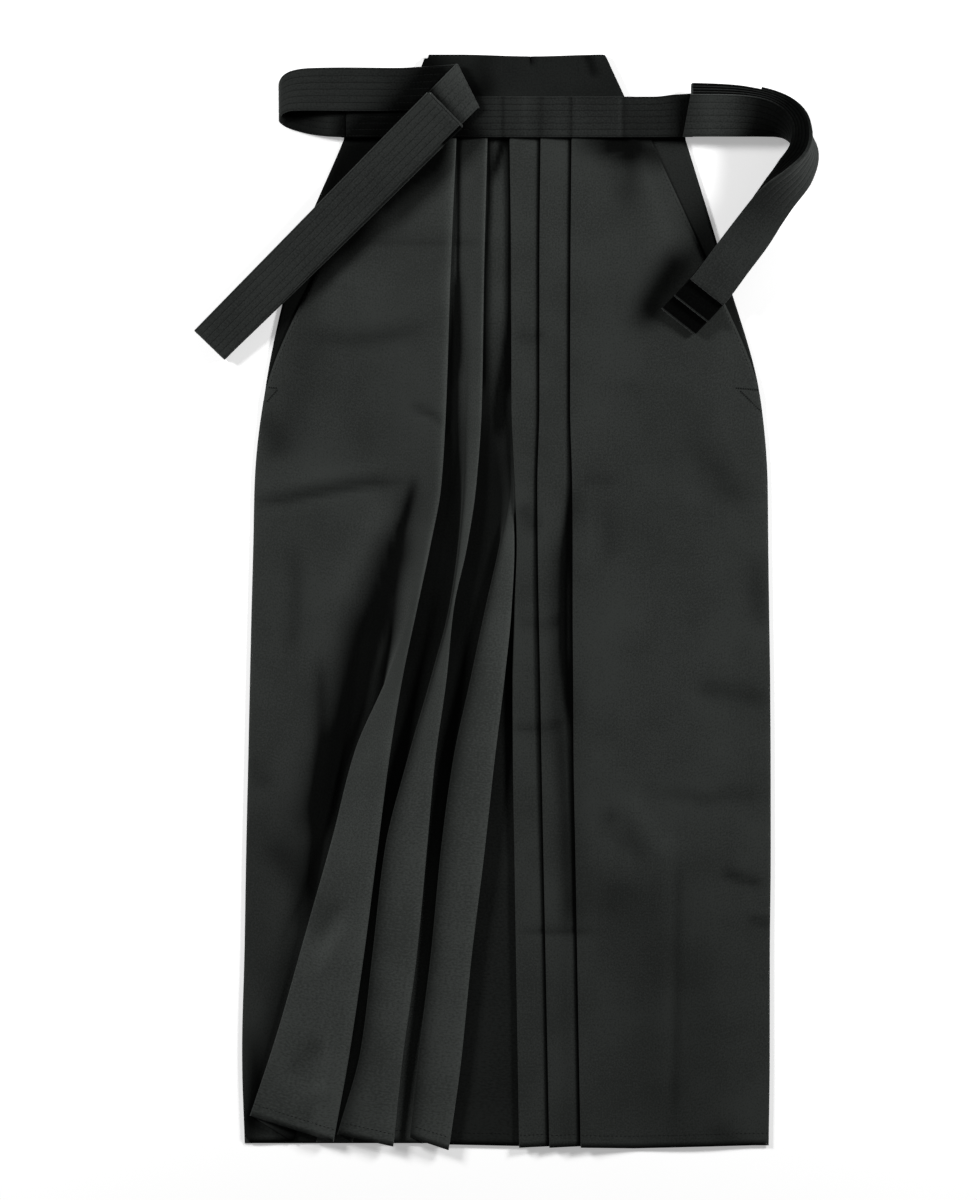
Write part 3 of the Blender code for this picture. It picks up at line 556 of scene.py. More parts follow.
def creased(rows, creases, seed):
    """Rows of a front with its creases, their painted shading and its swell; what lies near the floor keeps
    its place.
    """
    points = np.array(rows, float)
    lift, hollow = relief(points, creases)
    lift += sum(waviness(points, wave, seed) for wave in WAVES)
    free = np.clip((points[..., 2] - FLOOR_LAYER) / (PANEL_HEIGHT - FLOOR_LAYER), 0.0, 1.0)
    lowest = np.minimum(points[..., 2], PANEL_HEIGHT - DEEPEST_TROUGH)
    points[..., 2] = np.maximum(points[..., 2] + lift * free, lowest)
    # Painted shade from the creases is added only where the cloth carries no painted light of its own.
    own = points[..., 3]
    points[..., 3] = np.clip(own + hollow * np.clip(1 + PAINTED_LIGHT_HIDES_SHADE * own, 0.0, 1.0), -1.0, 1.0)
    return points


def quads(count, width, closed=False):
    """Faces between the rows of a grid of points; a closed grid joins its last column to its first."""
    return [
        (r * width + c, r * width + (c + 1) % width, (r + 1) * width + (c + 1) % width, (r + 1) * width + c)
        for r in range(count - 1) for c in range(width if closed else width - 1)
    ]


def reach_along(points, axis):
    """Length of cloth from the first point to each of the others along one axis."""
    steps = np.linalg.norm(np.diff(points, axis=axis), axis=-1)
    return np.insert(np.cumsum(steps, axis=axis), 0, 0.0, axis=axis)


def made_piece(name, points, faces, finish, threads=None, hollow=None):
    """A smooth piece from its points. threads are the places on the flat cloth, for the UV map in metres, and
    the painted shading is stored as a point attribute for the finish, which paints shade and light into the
    colour with it."""
    mesh = bpy.data.meshes.new(name)
    mesh.from_pydata((np.reshape(points, (-1, 3)) * MM).tolist(), [], faces)
    if threads is not None:
        loops = np.zeros(len(mesh.loops), dtype=np.int32)
        mesh.loops.foreach_get("vertex_index", loops)
        uv = (threads.reshape(-1, 2) * MM)[loops].ravel().astype(np.float32)
        mesh.uv_layers.new(name="threads").data.foreach_set("uv", uv)
        shade = np.ravel(hollow).astype(np.float32)
        mesh.attributes.new("hollow", "FLOAT", "POINT").data.foreach_set("value", shade)
    mesh.materials.append(finish)
    mesh.shade_smooth()
    piece = bpy.data.objects.new(name, mesh)
    bpy.context.scene.collection.objects.link(piece)
    return piece


def fixed(piece, part=None):
    """Put a piece on the garment's one body, and hide the solid that it takes the place of."""
    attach(piece, BODY)
    if part:
        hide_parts(part)


def cloth_piece(part, points, anchor=None):
    """A cloth piece from a grid of points with their painted shading, made a thin closed wall.

    anchor is the column from which the threads are counted: before it they run true down the
    cloth, after it they follow the folds.
    """
    points = np.array(points, float)
    places = points[..., :3]
    reach = reach_along(places, 1)
    if anchor is not None:
        even = reach.mean(axis=0)
        after = np.arange(len(even)) > anchor
        reach = np.where(after, even - even[anchor], reach - reach[:, anchor:anchor + 1])
    threads = np.stack([reach, reach_along(places, 0)], axis=2)
    faces = quads(*reach.shape)
    piece = made_piece(f"{part}_cloth", places, faces, body_cloth, threads, points[..., 3])
    wall = piece.modifiers.new("wall", "SOLIDIFY")
    wall.thickness = CLOTH * MM
    wall.offset = 0.0
    wall.use_even_offset = True
    fixed(piece, part)
    return piece


# What makes the tone of the cloth uneven: yarns along and across it, then blotches, coarse and
# fine. threads stretches a layer that follows the threads; the others lie on the whole garment.
TONES = table(
    "threads scale detail weight",
    ((900.0, 22.0), 1.0, 3.0, 0.30),
    ((26.0, 900.0), 1.0, 3.0, 0.26),
    (None, 16.0, 4.0, 0.34),
    (None, 13.0, 3.0, 1.0),
    ((640.0, 560.0), 1.0, 4.0, 1.9),
)
TONE_RANGE = (1.63, 2.13)
# How far the painted shading darkens or lightens the colour, gloss and sheen.
PAINTED_SHADING_STRENGTH = 0.88
ROUGHNESS_SPREAD = 0.06
YARN_PITCH = 0.55
WEAVE_DEPTH = 0.5
YARN_DEPTH = 1.6
WEAVE_HEIGHT = 0.25
SHEEN_TINT = (0.86, 0.90, 0.88, 1.0)


def blended(tree, factor, *ends):
    """Colour between a dark and a light end."""
    made = node(tree, "ShaderNodeMix", data_type="RGBA", Factor=factor)
    for socket, colour in zip([socket for socket in made.inputs if socket.type == "RGBA"], ends):
        socket.default_value = (*colour, 1.0)
    return next(socket for socket in made.outputs if socket.type == "RGBA")


def woven(name, dark, light, roughness, gloss, sheen):
    """Plain-woven cloth: threads over and under, uneven yarns along and across, and a faint bloom."""
    finish, tree, shader = new_finish(name)
    threads = node(tree, "ShaderNodeUVMap", uv_map="threads").outputs["UV"]
    place = node(tree, "ShaderNodeTexCoord").outputs["Object"]

    def scaled(x, y):
        return node(tree, "ShaderNodeMapping", Vector=threads, Scale=(x, y, 1.0)).outputs["Vector"]

    def maths(operation, *values):
        made = node(tree, "ShaderNodeMath", operation=operation)
        for socket, value in zip(made.inputs, values):
            if isinstance(value, bpy.types.NodeSocket):
                tree.links.new(value, socket)
            else:
                socket.default_value = value
        return made.outputs["Value"]

    layers, sums = [], [0.0]
    for tone in TONES:
        where = scaled(*tone.threads) if tone.threads else place
        layer = node(tree, "ShaderNodeTexNoise", Vector=where, Scale=tone.scale, Detail=tone.detail)
        layers.append(layer.outputs["Fac"])
        sums.append(maths("MULTIPLY_ADD", layers[-1], tone.weight, sums[-1]))
    yarns, mottle = sums[2], layers[2]
    colour = blended(tree, spread(tree, sums[-1], *TONE_RANGE, 0.0, 1.0), dark, light)
    # Painted light and shade: the point attribute darkens the colour, gloss and sheen where shade is painted,
    # and lightens them where light is painted.
    hollow = node(tree, "ShaderNodeAttribute", attribute_name="hollow").outputs["Fac"]
    kept = spread(tree, hollow, -1.0, 1.0, 1.0 + PAINTED_SHADING_STRENGTH, 1.0 - PAINTED_SHADING_STRENGTH)
    painted_colour = node(tree, "ShaderNodeVectorMath", operation="SCALE", Vector=colour, Scale=kept)
    rough = spread(tree, mottle, 0.0, 1.0, roughness - ROUGHNESS_SPREAD, roughness + ROUGHNESS_SPREAD)

    turns = 1 / MM / YARN_PITCH
    ends = node(tree, "ShaderNodeSeparateXYZ", Vector=scaled(turns, turns))
    over, under = (maths("SINE", maths("MULTIPLY", ends.outputs[axis], math.pi)) for axis in "XY")
    weave = maths("MULTIPLY", maths("MULTIPLY", over, under), WEAVE_DEPTH)
    height = maths("MULTIPLY_ADD", yarns, YARN_DEPTH, weave)
    bump = node(tree, "ShaderNodeBump", Height=height, Strength=0.35, Distance=WEAVE_HEIGHT * MM)
    fill(tree, shader, Base_Color=painted_colour.outputs["Vector"], Roughness=rough, Normal=bump.outputs["Normal"],
         Specular_IOR_Level=maths("MULTIPLY", kept, gloss), Sheen_Weight=maths("MULTIPLY", kept, sheen),
         Sheen_Roughness=0.45, Sheen_Tint=SHEEN_TINT)
    return finish


def front_piece(part, row_at, creases, seed):
    """A front from its sections, and the points it is made of."""
    points = creased([placed(row_at(drop), drop) for drop in drops], creases, seed)
    return cloth_piece(part, points, FOOT_COLUMN), points


body_cloth = woven("body_cloth", (0.015, 0.017, 0.0155), (0.027, 0.030, 0.028), 0.80, 0.14, 0.16)
drops = np.linspace(TOP_DROP, FRONT_LENGTH, round((FRONT_LENGTH - TOP_DROP) / ROW_STEP) + 1)
front_right, right_points = front_piece("front_right", right_front_row, RIGHT_CREASES, 1.0)


# ---------------------------------------------------------------------------------------------
# Left front. The other leg's front: a broad panel and three pleats that are still pressed, each
# lying over the next with its edge to the side. The same cloth, cut and sewn as the right front.
LEFT_LEG = {
    #            0     130     260     340     400     460     530     610     700     800     900     985
    "side": (142.3, 201.0, 250.9, 257.3, 257.9, 258.7, 259.7, 260.2, 260.3, 259.4, 259.3, 258.3),
    "crease_1": (66.0, 64.9, 64.6, 66.6, 67.0, 67.0, 67.5, 68.0, 69.7, 71.5, 73.3, 74.8),
    "crease_2": (35.7, 34.6, 34.6, 32.6, 33.0, 33.9, 35.3, 36.7, 38.5, 40.6, 42.6, 44.2),
    "crease_3": (5.4, 7.0, 7.3, 10.7, 12.4, 9.9, 8.3, 8.7, 10.1, 11.7, 13.4, 14.7),
}
LEFT_CREASE_HEIGHTS = (
    (6.0, 6.0, 6.0, 7.5, 9.0, 10.0, 9.5, 8.0, 6.8, 6.2, 6.2, 6.2),
    (6.0, 6.0, 6.0, 6.5, 7.5, 8.0, 8.0, 7.2, 6.5, 6.1, 6.1, 6.1),
    (6.0, 6.0, 6.0, 6.0, 6.5, 7.0, 7.0, 6.4, 6.0, 6.0, 6.0, 6.0),
)
LEFT_PANEL = {
    "height": (3.3, 3.3, 3.3, 3.3, 3.3, 3.3, 3.3, 3.3, 3.3, 2.8, 2.2, 1.8),
    "arch":   (1.8, 2.2, 2.4, 2.4, 2.4, 2.4, 2.4, 2.4, 2.4, 2.4, 2.0, 1.2),
}
# Painted shade on a pressed pleat, a dark line by the distance out from under the edge above it.
SLIT = table("offset hollow", (-1.0, 1.0), (0.6, 1.0), (2.0, 0.95), (3.2, 0.55), (4.8, 0.15), (7.0, 0.0))
LEFT_CREASES = table(
    CREASE,
    (((66, 330), (60, 390), (58, 440), (58, 500), (65, 590)), 5, 0, 1.0),
    (((56, 370), (51, 440), (52, 560), (60, 680), (66, 790)), 9, 0, 0.5),
    (((165, 280), (200, 318), (250, 366)), 17, 0, 0.24),
    (((250, 396), (246, 440), (252, 490)), 11, -0.6, 0.28),
    (((130, 640), (200, 646), (270, 642)), 8, -0.8, 0.24),
    (((66, 336), (92, 334), (118, 339)), 6, -0.6, 0.2),
    (((183, 96), (146, 158), (128, 196)), 15, 0, 0.95),
    (((168, -30), (186, 30), (206, 96), (226, 150)), 20, 0, 0.8),
    (((60, 2), (126, 12), (210, 24)), 15, 0, 0.75),
    (((116, -30), (122, 30), (118, 84)), 14, 0, 0.4),
    (((120, 100), (150, 260), (140, 420)), 60, 0, 0.1),
    (((8, -40), (100, 2), (190, -30)), 16, 0, 0.4),
    (((120, 700), (170, 860), (175, 1120)), 60, 0, 0.30),
    (((60, 560), (60, 800), (64, 1120)), 8, 0, 0.15),
    (((84, 238), (130, 236), (180, 237)), 7, 0.8),
    (((86, 700), (110, 728), (132, 735)), 7, 1.4),
    (((94, 696), (98, 735), (101, 776)), 7, -1.4, 0.3),
    (((4, 778), (55, 776), (104, 780)), 4, -0.8, 0.3),
    (((163, 676), (162, 800), (158, 960)), 9, 0.8, -0.12),
    (((170, 690), (169, 820), (166, 980)), 5, -0.6, 0.2),
    (((92, 648), (118, 680), (146, 716)), 10, -1.0, 0.3),
    (((112, 640), (140, 676), (170, 712)), 12, 0.8, -0.12),
    (((176, 540), (220, 543), (268, 550)), 10, -1.2, 0.32),
    (((236, 763), (250, 766), (266, 767)), 5, -1.0, 0.45),
    (((182, 640), (200, 644), (212, 643)), 6, 0.7),
    (((94, 344), (98, 385), (102, 424)), 7, -0.8, 0.22),
    (((216, 246), (226, 290), (240, 330)), 7, -0.9),
    (((238, 300), (228, 340), (236, 364)), 6, 0.8),
    (((206, 716), (230, 724), (258, 730)), 6, -1.4, 0.5),
    (((239, 744), (240, 764)), 5, 0.8),
    (((177, 12), (178, 52)), 4, -0.7),
    (((100, 40), (140, 90), (170, 160)), 16, 0.8),
    (((110, 460), (150, 520), (160, 600)), 18, 0.7),
    (((96, 860), (130, 880), (150, 930)), 12, -0.6),
    (((205, 820), (210, 900), (204, 960)), 12, 0.6),
    (((14, 356), (24, 372), (34, 388)), 9, 0, 0.35),
    (((0, 575), (30, 577), (64, 572)), 5, 0, 0.35),
    (((6, 470), (36, 477), (64, 468)), 7, 0, 0.25),
    (((8, 190), (26, 196), (44, 190)), 7, 0, 0.3),
    (((190, 962), (230, 985), (264, 1000)), 11, 0, 0.3),
)


def coming_out(start, end, cover):
    """Points where a straight stretch of cloth comes out from under the edge that covers it, with painted
    shade along that edge.
    """
    knots = []
    for row in SLIT:
        share = (cover + row.offset - start.across) / (end.across - start.across)
        knots.append(between(start, end, share)._replace(hollow=row.hollow))
    return knots


def left_front_row(drop):
    """Section across the left front, worked out with the across direction turned round."""
    crease = [-line(LEFT_LEG, f"crease_{i}", drop) for i in (1, 2, 3)]
    heights = [along(STATIONS, row, drop) for row in LEFT_CREASE_HEIGHTS]
    folds = []
    for i, (edge_at, top) in enumerate(zip(crease, heights), 1):
        folds.append(fold(f"left_crease_{i}", edge_at, 1, top, TIGHT, -1))
        folds.append(fold(f"left_under_{i}", edge_at - UNDERLAP, -1, FLOOR_LAYER, TIGHT, 1))
    start = Knot(crease[0] - CLIMB, PANEL_HEIGHT, HEM["left_foot"], 0.0)
    end = Knot(folds[-1].across, FLOOR_LAYER + LAYER_STEP, HEM["left_under_3"], 0.0)
    knots = list(wrapped(start, folds[:-1], end).values())
    side = -line(LEFT_LEG, "side", drop)
    foot = start.across - FOOT_ROOM
    groups = [(0, panel_knots("left", side, foot, LEFT_PANEL, drop)), (SHORT_COLUMNS, knots[0])]
    for cover, under, edge in zip(crease, knots[1::2], knots[2::2]):
        slit = coming_out(under[-1], edge[0], cover)
        groups += [(HIDDEN_COLUMNS, under), (SHORT_COLUMNS, slit), (FACET_COLUMNS, edge)]
    groups.append((HIDDEN_COLUMNS, [end]))
    return [knot._replace(across=-knot.across) for knot in joined(groups)]


front_left, left_points = front_piece("front_left", left_front_row, LEFT_CREASES, 3.0)


# ---------------------------------------------------------------------------------------------
# Backs and side wedges. The two backs lie flat on the floor and meet along the centre line. A
# narrow wedge of the same cloth closes each side opening at the waist, under the front's edge.
BACK_LENGTH = 983.0
BACK_TOP_DROP = -5.7
BACK_HEIGHT = WALL / 2
BACK_CELLS = (124, 24)
WEDGE_CELLS = (42, 8)
WEDGE_LAP = 8.0
WEDGE_INSET = 3.0
HALVES = table(
    "name leg outline side",
    ("right", RIGHT_LEG, (-156.4, -208.8, *RIGHT_LEG["side"][2:]), -1),
    ("left", LEFT_LEG, (176.5, 215.8, *LEFT_LEG["side"][2:]), 1),
)
# Creases on the backs; the last two rows are only painted shade at the waist, where the ties' shade falls.
BACK_CREASES = table(
    CREASE,
    (((-230, 300), (-120, 310), (-20, 305)), 6, 0.35),
    (((20, 312), (130, 305), (240, 308)), 6, 0.3),
    (((-180, 60), (-190, 400), (-186, 800)), 10, 0.3),
    (((150, 120), (170, 500), (160, 880)), 12, 0.3),
    (((-90, 520), (-60, 640), (-80, 820)), 9, 0.35),
    (((60, 500), (90, 660), (70, 860)), 9, 0.3),
    (((-240, 742), (-100, 738), (-10, 744)), 5, 0.3),
    (((12, 741), (120, 745), (250, 739)), 5, 0.3),
    (((-110, -80), (-165, 50), (-205, 140), (-232, 240)), 45, 0, 1.0),
    (((150, -80), (185, 50), (215, 130), (240, 240)), 40, 0, 0.8),
)
# Painted shade on each wedge from the waist down, where the ties' shade lies on it.
WEDGE_SHADES = {"right": (1.0, 1.0, 0.95, 0.9, 0.8), "left": (0.45, 0.6, 0.95, 0.6, 0.3)}


def flat_half(half, at_drops, height, columns, inner_line):
    """Flat rows of one half from its outline to an inner line, always from -X to +X."""
    rows = []
    for drop in at_drops:
        outer, inner = along(STATIONS, half.outline, drop), inner_line(drop)
        row = [(mix(outer, inner, i / columns), WAIST_Y - drop, height) for i in range(columns + 1)]
        rows.append(row if half.side < 0 else row[::-1])
    return np.array(rows)


def spaced(values, count):
    """A row of values read at count even places from the first to the last."""
    return np.interp(np.linspace(0, len(values) - 1, count), range(len(values)), values)


centre = (line(RIGHT_LEG, "crease_2", 0) + line(LEFT_LEG, "crease_2", 0) - SEAM_GAP) / 2
back_drops = np.linspace(BACK_TOP_DROP, BACK_LENGTH, BACK_CELLS[0])
for half in HALVES:
    points = flat_half(
        half, back_drops, BACK_HEIGHT, BACK_CELLS[1], lambda drop: centre + half.side * SEAM_GAP / 2
    )
    lift, hollow = relief(points, BACK_CREASES)
    points[..., 2] += np.maximum(lift, 0.0)
    back = cloth_piece(f"back_{half.name}", np.dstack([points, hollow]))

wedge_drops = np.linspace(WEDGE_INSET, VENT_DROP - WEDGE_INSET, WEDGE_CELLS[0])
for half in HALVES:
    points = flat_half(
        half, wedge_drops, FLOOR_LAYER, WEDGE_CELLS[1],
        lambda drop: line(half.leg, "side", drop) - half.side * WEDGE_LAP,
    )
    hollow = np.broadcast_to(spaced(WEDGE_SHADES[half.name], len(points))[:, None], points.shape[:2])
    wedge = cloth_piece(f"sasahida_{half.name}", np.dstack([points, hollow]))


# ---------------------------------------------------------------------------------------------
# Waistband. Several layers of the cloth folded into a long strip and sewn through in close rows
# of black thread, so that the strip is ribbed between the rows. It holds the tops of the pleats.
BAND_CLOTH = 1.6
BAND_WIDTH = 40.0
BAND_SAMPLES = 280
STITCHED_ROWS = 7
STITCH_MARGIN = 0.04
STITCH_GROOVE = 0.5
STITCH_DEPTH = 0.22
# Painted shade in each seam's groove.
STITCH_PAINTED_SHADE = 0.55
# How far from each seam and from each edge the mesh has its columns.
SEAM_COLUMNS = (-1.3, -0.55, 0.0, 0.55, 1.3)
EDGE_COLUMNS = (0.0, 0.12, 0.45)
THINNEST_EDGE = 0.02
RIM_WIDTH = 0.5
PUCKER = 0.22
PUCKER_SIZE = 5.0
PUCKER_STEP = 0.35
# Stitches: where the first of a row begins, and how the thread lies at its start, middle and end,
# how far out and how thick by its radius.
STITCH_LENGTH = 2.7
STITCH_GAP = 0.7
STITCH_START = 0.4
STITCH_STAGGER = 0.3
STITCH_RINGS = table("lift size", (-0.6, 0.55), (0.5, 1.0), (-0.6, 0.55))
STITCH_ENDS = ((0, 1, 2, 3), (11, 10, 9, 8))
THREAD = 0.20
UP_FACING = 0.15
BAND_ROWS = table(
    "across lower_height upper_height upper_rise",
    (-159.0, 5.4, 3.7, 40.0),
    (-150.0, 7.6, 5.9, 40.0),
    (-100.0, 7.8, 6.1, 40.0),
    (-40.0, 7.8, 6.1, 40.0),
    (40.0, 7.8, 6.1, 40.0),
    (100.0, 7.8, 6.1, 40.0),
    (145.0, 8.2, 6.8, 40.0),
    (164.0, 10.6, 10.4, 41.5),
    (174.0, 11.0, 12.2, 42.0),
    (183.6, 10.8, 13.4, 42.5),
)
# Painted shading along the band: painted shade where it lies in the shade of the ties, and narrow painted
# marks of light and shade where the edges of the pleats underneath press through it.
BAND_SHADES = table(
    "across hollow",
    (-159, 0.6), (-110, 0.8), (-40, 1.0), (-24, 0.65), (-8, 0.25), (-4, 0.3), (-2, 0.7), (1, 0.25),
    (14, 0.15), (20, -0.05), (30, 0.15), (36, 0.45), (40, 0.15), (54, -0.05), (62, 0.1), (65, 0.55),
    (68, 0.0), (90, 0.05), (110, 0.0), (113, -0.3), (116, 0.5), (121, 0.25), (140, 0.3), (158, 0.45),
    (170, 0.85), (184, 1.0),
)
# The shadow of the right tie's bundle, painted on the band and the loop.
BUNDLE_SHADOW = table(CREASE, (((-20, -96), (-48, -70), (-128, 8), (-190, 70)), 25, 0, 1.0))
Quilt = namedtuple("Quilt", "piece edges normal groove seams")


def sampled(rows, count):
    """Each column of a table of rows, read smoothly at count places from the first row to the last."""
    places = np.linspace(0, len(rows) - 1, count)
    return [[along(range(len(rows)), column, at) for column in zip(*rows)] for at in places]


def thickness_profile(shares, seams, width, half):
    """Half the thickness of a sewn band across its width: drawn in at each seam, round at the edges."""
    profile = np.full(len(shares), half)
    for seam in seams:
        profile *= 1 - STITCH_DEPTH * np.exp(-(((shares - seam) * width / STITCH_GROOVE) ** 2))
    inside = np.clip(np.minimum(shares, 1 - shares) * width / half, 0.0, 1.0)
    return profile * np.sqrt(np.clip(1 - (1 - inside) ** 2, THINNEST_EDGE, 1.0))


def both_faces(values):
    """Values across a band, and again backwards for its lower face."""
    return np.concatenate([values, values[::-1]])


def quilted(part, edges, thickness, seed, hollow=0.0, fullness=1.0, sewn=1.0, rim=0.0, shadowed=0.0):
    """A band sewn through in rows, from the two edges of each of its cross rows.

    The last five hold for every cross row: how much painted shading it has, how much thicker, how much
    painted shade lies in its seams, how much painted shading its two edges have besides, and how far the
    painted shadow of the bundle darkens it.
    """
    edges = np.array(edges, float)
    count = len(edges)
    hollow, fullness, sewn, rim, shadowed = (
        np.broadcast_to(values, count)[:, None] for values in (hollow, fullness, sewn, rim, shadowed)
    )
    span = edges[:, 1] - edges[:, 0]
    width = np.linalg.norm(span, axis=1).mean()
    half = thickness / 2
    seams = np.linspace(STITCH_MARGIN, 1 - STITCH_MARGIN, STITCHED_ROWS)
    ribs = [seam + step / width for seam in seams for step in SEAM_COLUMNS]
    rims = [share for step in EDGE_COLUMNS for share in (step / width, 1 - step / width)]
    shares = np.array(sorted(share for share in ribs + rims if 0 <= share <= 1))
    from_edge = np.minimum(shares, 1 - shares) * width
    normal = np.cross(span, np.gradient(edges, axis=0).mean(axis=1))
    normal /= np.linalg.norm(normal, axis=1, keepdims=True)
    middle = edges[:, None, 0] + span[:, None] * shares[None, :, None]
    pucker = [
        [noise.noise(Vector((share * width / PUCKER_SIZE, row * PUCKER_STEP, seed))) for share in shares]
        for row in range(count)
    ]
    depth = thickness_profile(shares, seams, width, half)
    depth = depth * (1 + PUCKER * np.array(pucker) * (from_edge > half)) * fullness
    out = normal[:, None] * depth[..., None]
    ring = np.concatenate([middle + out, (middle - out)[:, ::-1]], axis=1)
    around = ring.shape[1]
    faces = quads(count, around, closed=True)
    for c in range(len(shares) - 1):
        first = (c + 1, c, around - 1 - c, around - 2 - c)
        faces += [first, tuple((count - 1) * around + i for i in reversed(first))]
    reach = reach_along(edges.mean(axis=1), 0)
    threads = np.stack(np.broadcast_arrays(both_faces(shares) * width, reach[:, None]), axis=2)
    # Painted shading: the row's own, painted shade in the seams and on the rims, and the bundle's painted
    # shadow.
    shade = hollow + sewn * both_faces(np.isin(shares, seams) * STITCH_PAINTED_SHADE)
    shade = shade + rim * both_faces(from_edge < RIM_WIDTH) + shadowed * relief(ring, BUNDLE_SHADOW)[1]
    piece = made_piece(f"{part}_cloth", ring, faces, stitched_band, threads, np.minimum(shade, 1.0))
    fixed(piece, part)
    return Quilt(piece, edges, normal, thickness_profile(seams, seams, width, half), seams)


def seam_paths(quilt, first, last):
    """Lines of sewing on both faces of a band between two of its cross rows."""
    edges = quilt.edges[first:last]
    normal = quilt.normal[first:last]
    paths = []
    for seam, depth in zip(quilt.seams, quilt.groove):
        places = edges[:, 0] + (edges[:, 1] - edges[:, 0]) * seam
        paths += [(places + normal * face * depth, normal * face) for face in (1, -1)]
    return paths


def read_at(place, reach, values):
    """The value of each of three columns at a place along a line."""
    return np.array([np.interp(place, reach, column) for column in values.T])


def sewing(name, paths, length=STITCH_LENGTH, gap=STITCH_GAP, radius=THREAD):
    """Single stitches of thread along lines, where the cloth faces up: each dives in at both ends."""
    points, faces = [], []
    for at, (path, normal) in enumerate(paths):
        reach = reach_along(path, 0)
        first_start = STITCH_START * gap + (at % 3) * STITCH_STAGGER
        for start in np.arange(first_start, reach[-1] - length, length + gap):
            ends = [read_at(start + share * length, reach, path) for share in (0.0, 0.5, 1.0)]
            out = read_at(start + length / 2, reach, normal)
            out /= np.linalg.norm(out)
            if out[2] < UP_FACING:
                continue
            side = np.cross(ends[2] - ends[0], out)
            side /= np.linalg.norm(side)
            first = len(points)
            for end, ring in zip(ends, STITCH_RINGS):
                for turn in range(4):
                    angle = math.pi / 4 + turn * math.pi / 2
                    corner = side * math.cos(angle) + out * math.sin(angle)
                    points.append(end + out * ring.lift * radius + corner * radius * ring.size)
            for ring in (first, first + 4):
                for turn in range(4):
                    a, b = ring + turn, ring + (turn + 1) % 4
                    faces.append((a, a + 4, b + 4, b))
            faces += [tuple(first + i for i in end) for end in STITCH_ENDS]
    piece = made_piece(name, points, faces, thread)
    fixed(piece)
    return piece


# The band and ties get darker colours than the body cloth: painted shade of their sewn ribs.
stitched_band = woven("stitched_band", (0.0068, 0.0078, 0.0073), (0.0165, 0.0185, 0.0173), 0.76, 0.11, 0.09)
# Twisted sewing thread: its ply is a fine wave in tone and height.
thread, tree, shader = new_finish("black_thread")
place = node(tree, "ShaderNodeTexCoord").outputs["Object"]
ply = node(tree, "ShaderNodeTexNoise", Vector=place, Scale=2600.0, Detail=1.0).outputs["Fac"]
bump = node(tree, "ShaderNodeBump", Height=ply, Strength=0.4, Distance=0.0001)
fill(tree, shader, Base_Color=blended(tree, ply, (0.0028, 0.00315, 0.00301), (0.0052, 0.00585, 0.00559)),
     Roughness=0.6, Specular_IOR_Level=0.12, Sheen_Weight=0.02, Normal=bump.outputs["Normal"])

edges, shades = [], []
for across, lower, upper, rise in sampled(BAND_ROWS, BAND_SAMPLES):
    edges.append(((across, WAIST_Y, lower), (across, WAIST_Y + rise, upper)))
    shades.append(np.interp(across, *zip(*BAND_SHADES)))
band = quilted("waistband", edges[::-1], BAND_CLOTH, 5.0, shades[::-1], shadowed=1.0)
band_sewing = sewing("waistband_sewing", seam_paths(band, 0, len(edges)))


# ---------------------------------------------------------------------------------------------
# Sewing of the fronts, in the same black thread: the hem turned up and stitched down, the turned
# edge of each side opening, and the bar tacks that keep the foot of the openings from tearing.
HEM_TURN = 14.0
EDGE_TURN = 0.5
TACK_SPREAD = 0.9
TACK_POINTS = 5
TACK = "start end"
RIGHT_TACKS = table(TACK, ((-231.3, 243.8), (-221, 244.8)), ((-221.5, 246), (-233, 258.5)))
LEFT_TACKS = table(TACK, ((225.5, 244.5), (249.5, 246.5)), ((230, 247), (251.5, 268)))
FRONT_SEWING = table(
    "name length gap radius",
    ("hem_sewing", 3.0, 1.2, 0.3),
    ("opening_sewing", 3.0, 1.0, THREAD),
    ("tacks", 2.2, 0.1, 0.42),
)


def upper_face(points, at_rows, at_columns):
    """Points of a grid and their normals, raised to the upper face of the cloth."""
    downward = np.gradient(points[..., :3], axis=0)
    across = np.gradient(points[..., :3], axis=1)
    facing = math.copysign(1.0, points[0, -1, 0] - points[0, 0, 0])
    normal = facing * np.cross(downward, across)[at_rows, at_columns]
    normal /= np.linalg.norm(normal, axis=1, keepdims=True)
    return points[at_rows, at_columns, :3] + normal * CLOTH / 2, normal


def is_open(row, at):
    """Whether no other layer of a row of cloth covers its point."""
    x, height = row[at][0], row[at][2]
    for a, b in zip(row, row[1:]):
        if min(a[0], b[0]) < x < max(a[0], b[0]):
            if mix(a[2], b[2], (x - a[0]) / (b[0] - a[0])) > height + CLOTH:
                return False
    return True


def hem_paths(points):
    """Lines along the stitched hem, broken where one pleat covers the next."""
    at = int(np.argmin(abs(drops - (FRONT_LENGTH - HEM_TURN))))
    places, normal = upper_face(points, at, slice(None))
    shown = [is_open(points[at], i) and normal[i][2] > UP_FACING for i in range(len(places))]
    paths, start = [], None
    for i, visible in enumerate([*shown, False]):
        if visible and start is None:
            start = i
        elif not visible and start is not None:
            if i - start > 2:
                paths.append((places[start:i], normal[start:i]))
            start = None
    return paths


def opening_path(points):
    """The line along the turned edge of the side opening, just inside the first column."""
    at = np.where((drops > WEDGE_INSET) & (drops < VENT_DROP))[0]
    outer, normal = upper_face(points, at, 0)
    return mix(outer, upper_face(points, at, 1)[0], EDGE_TURN), normal


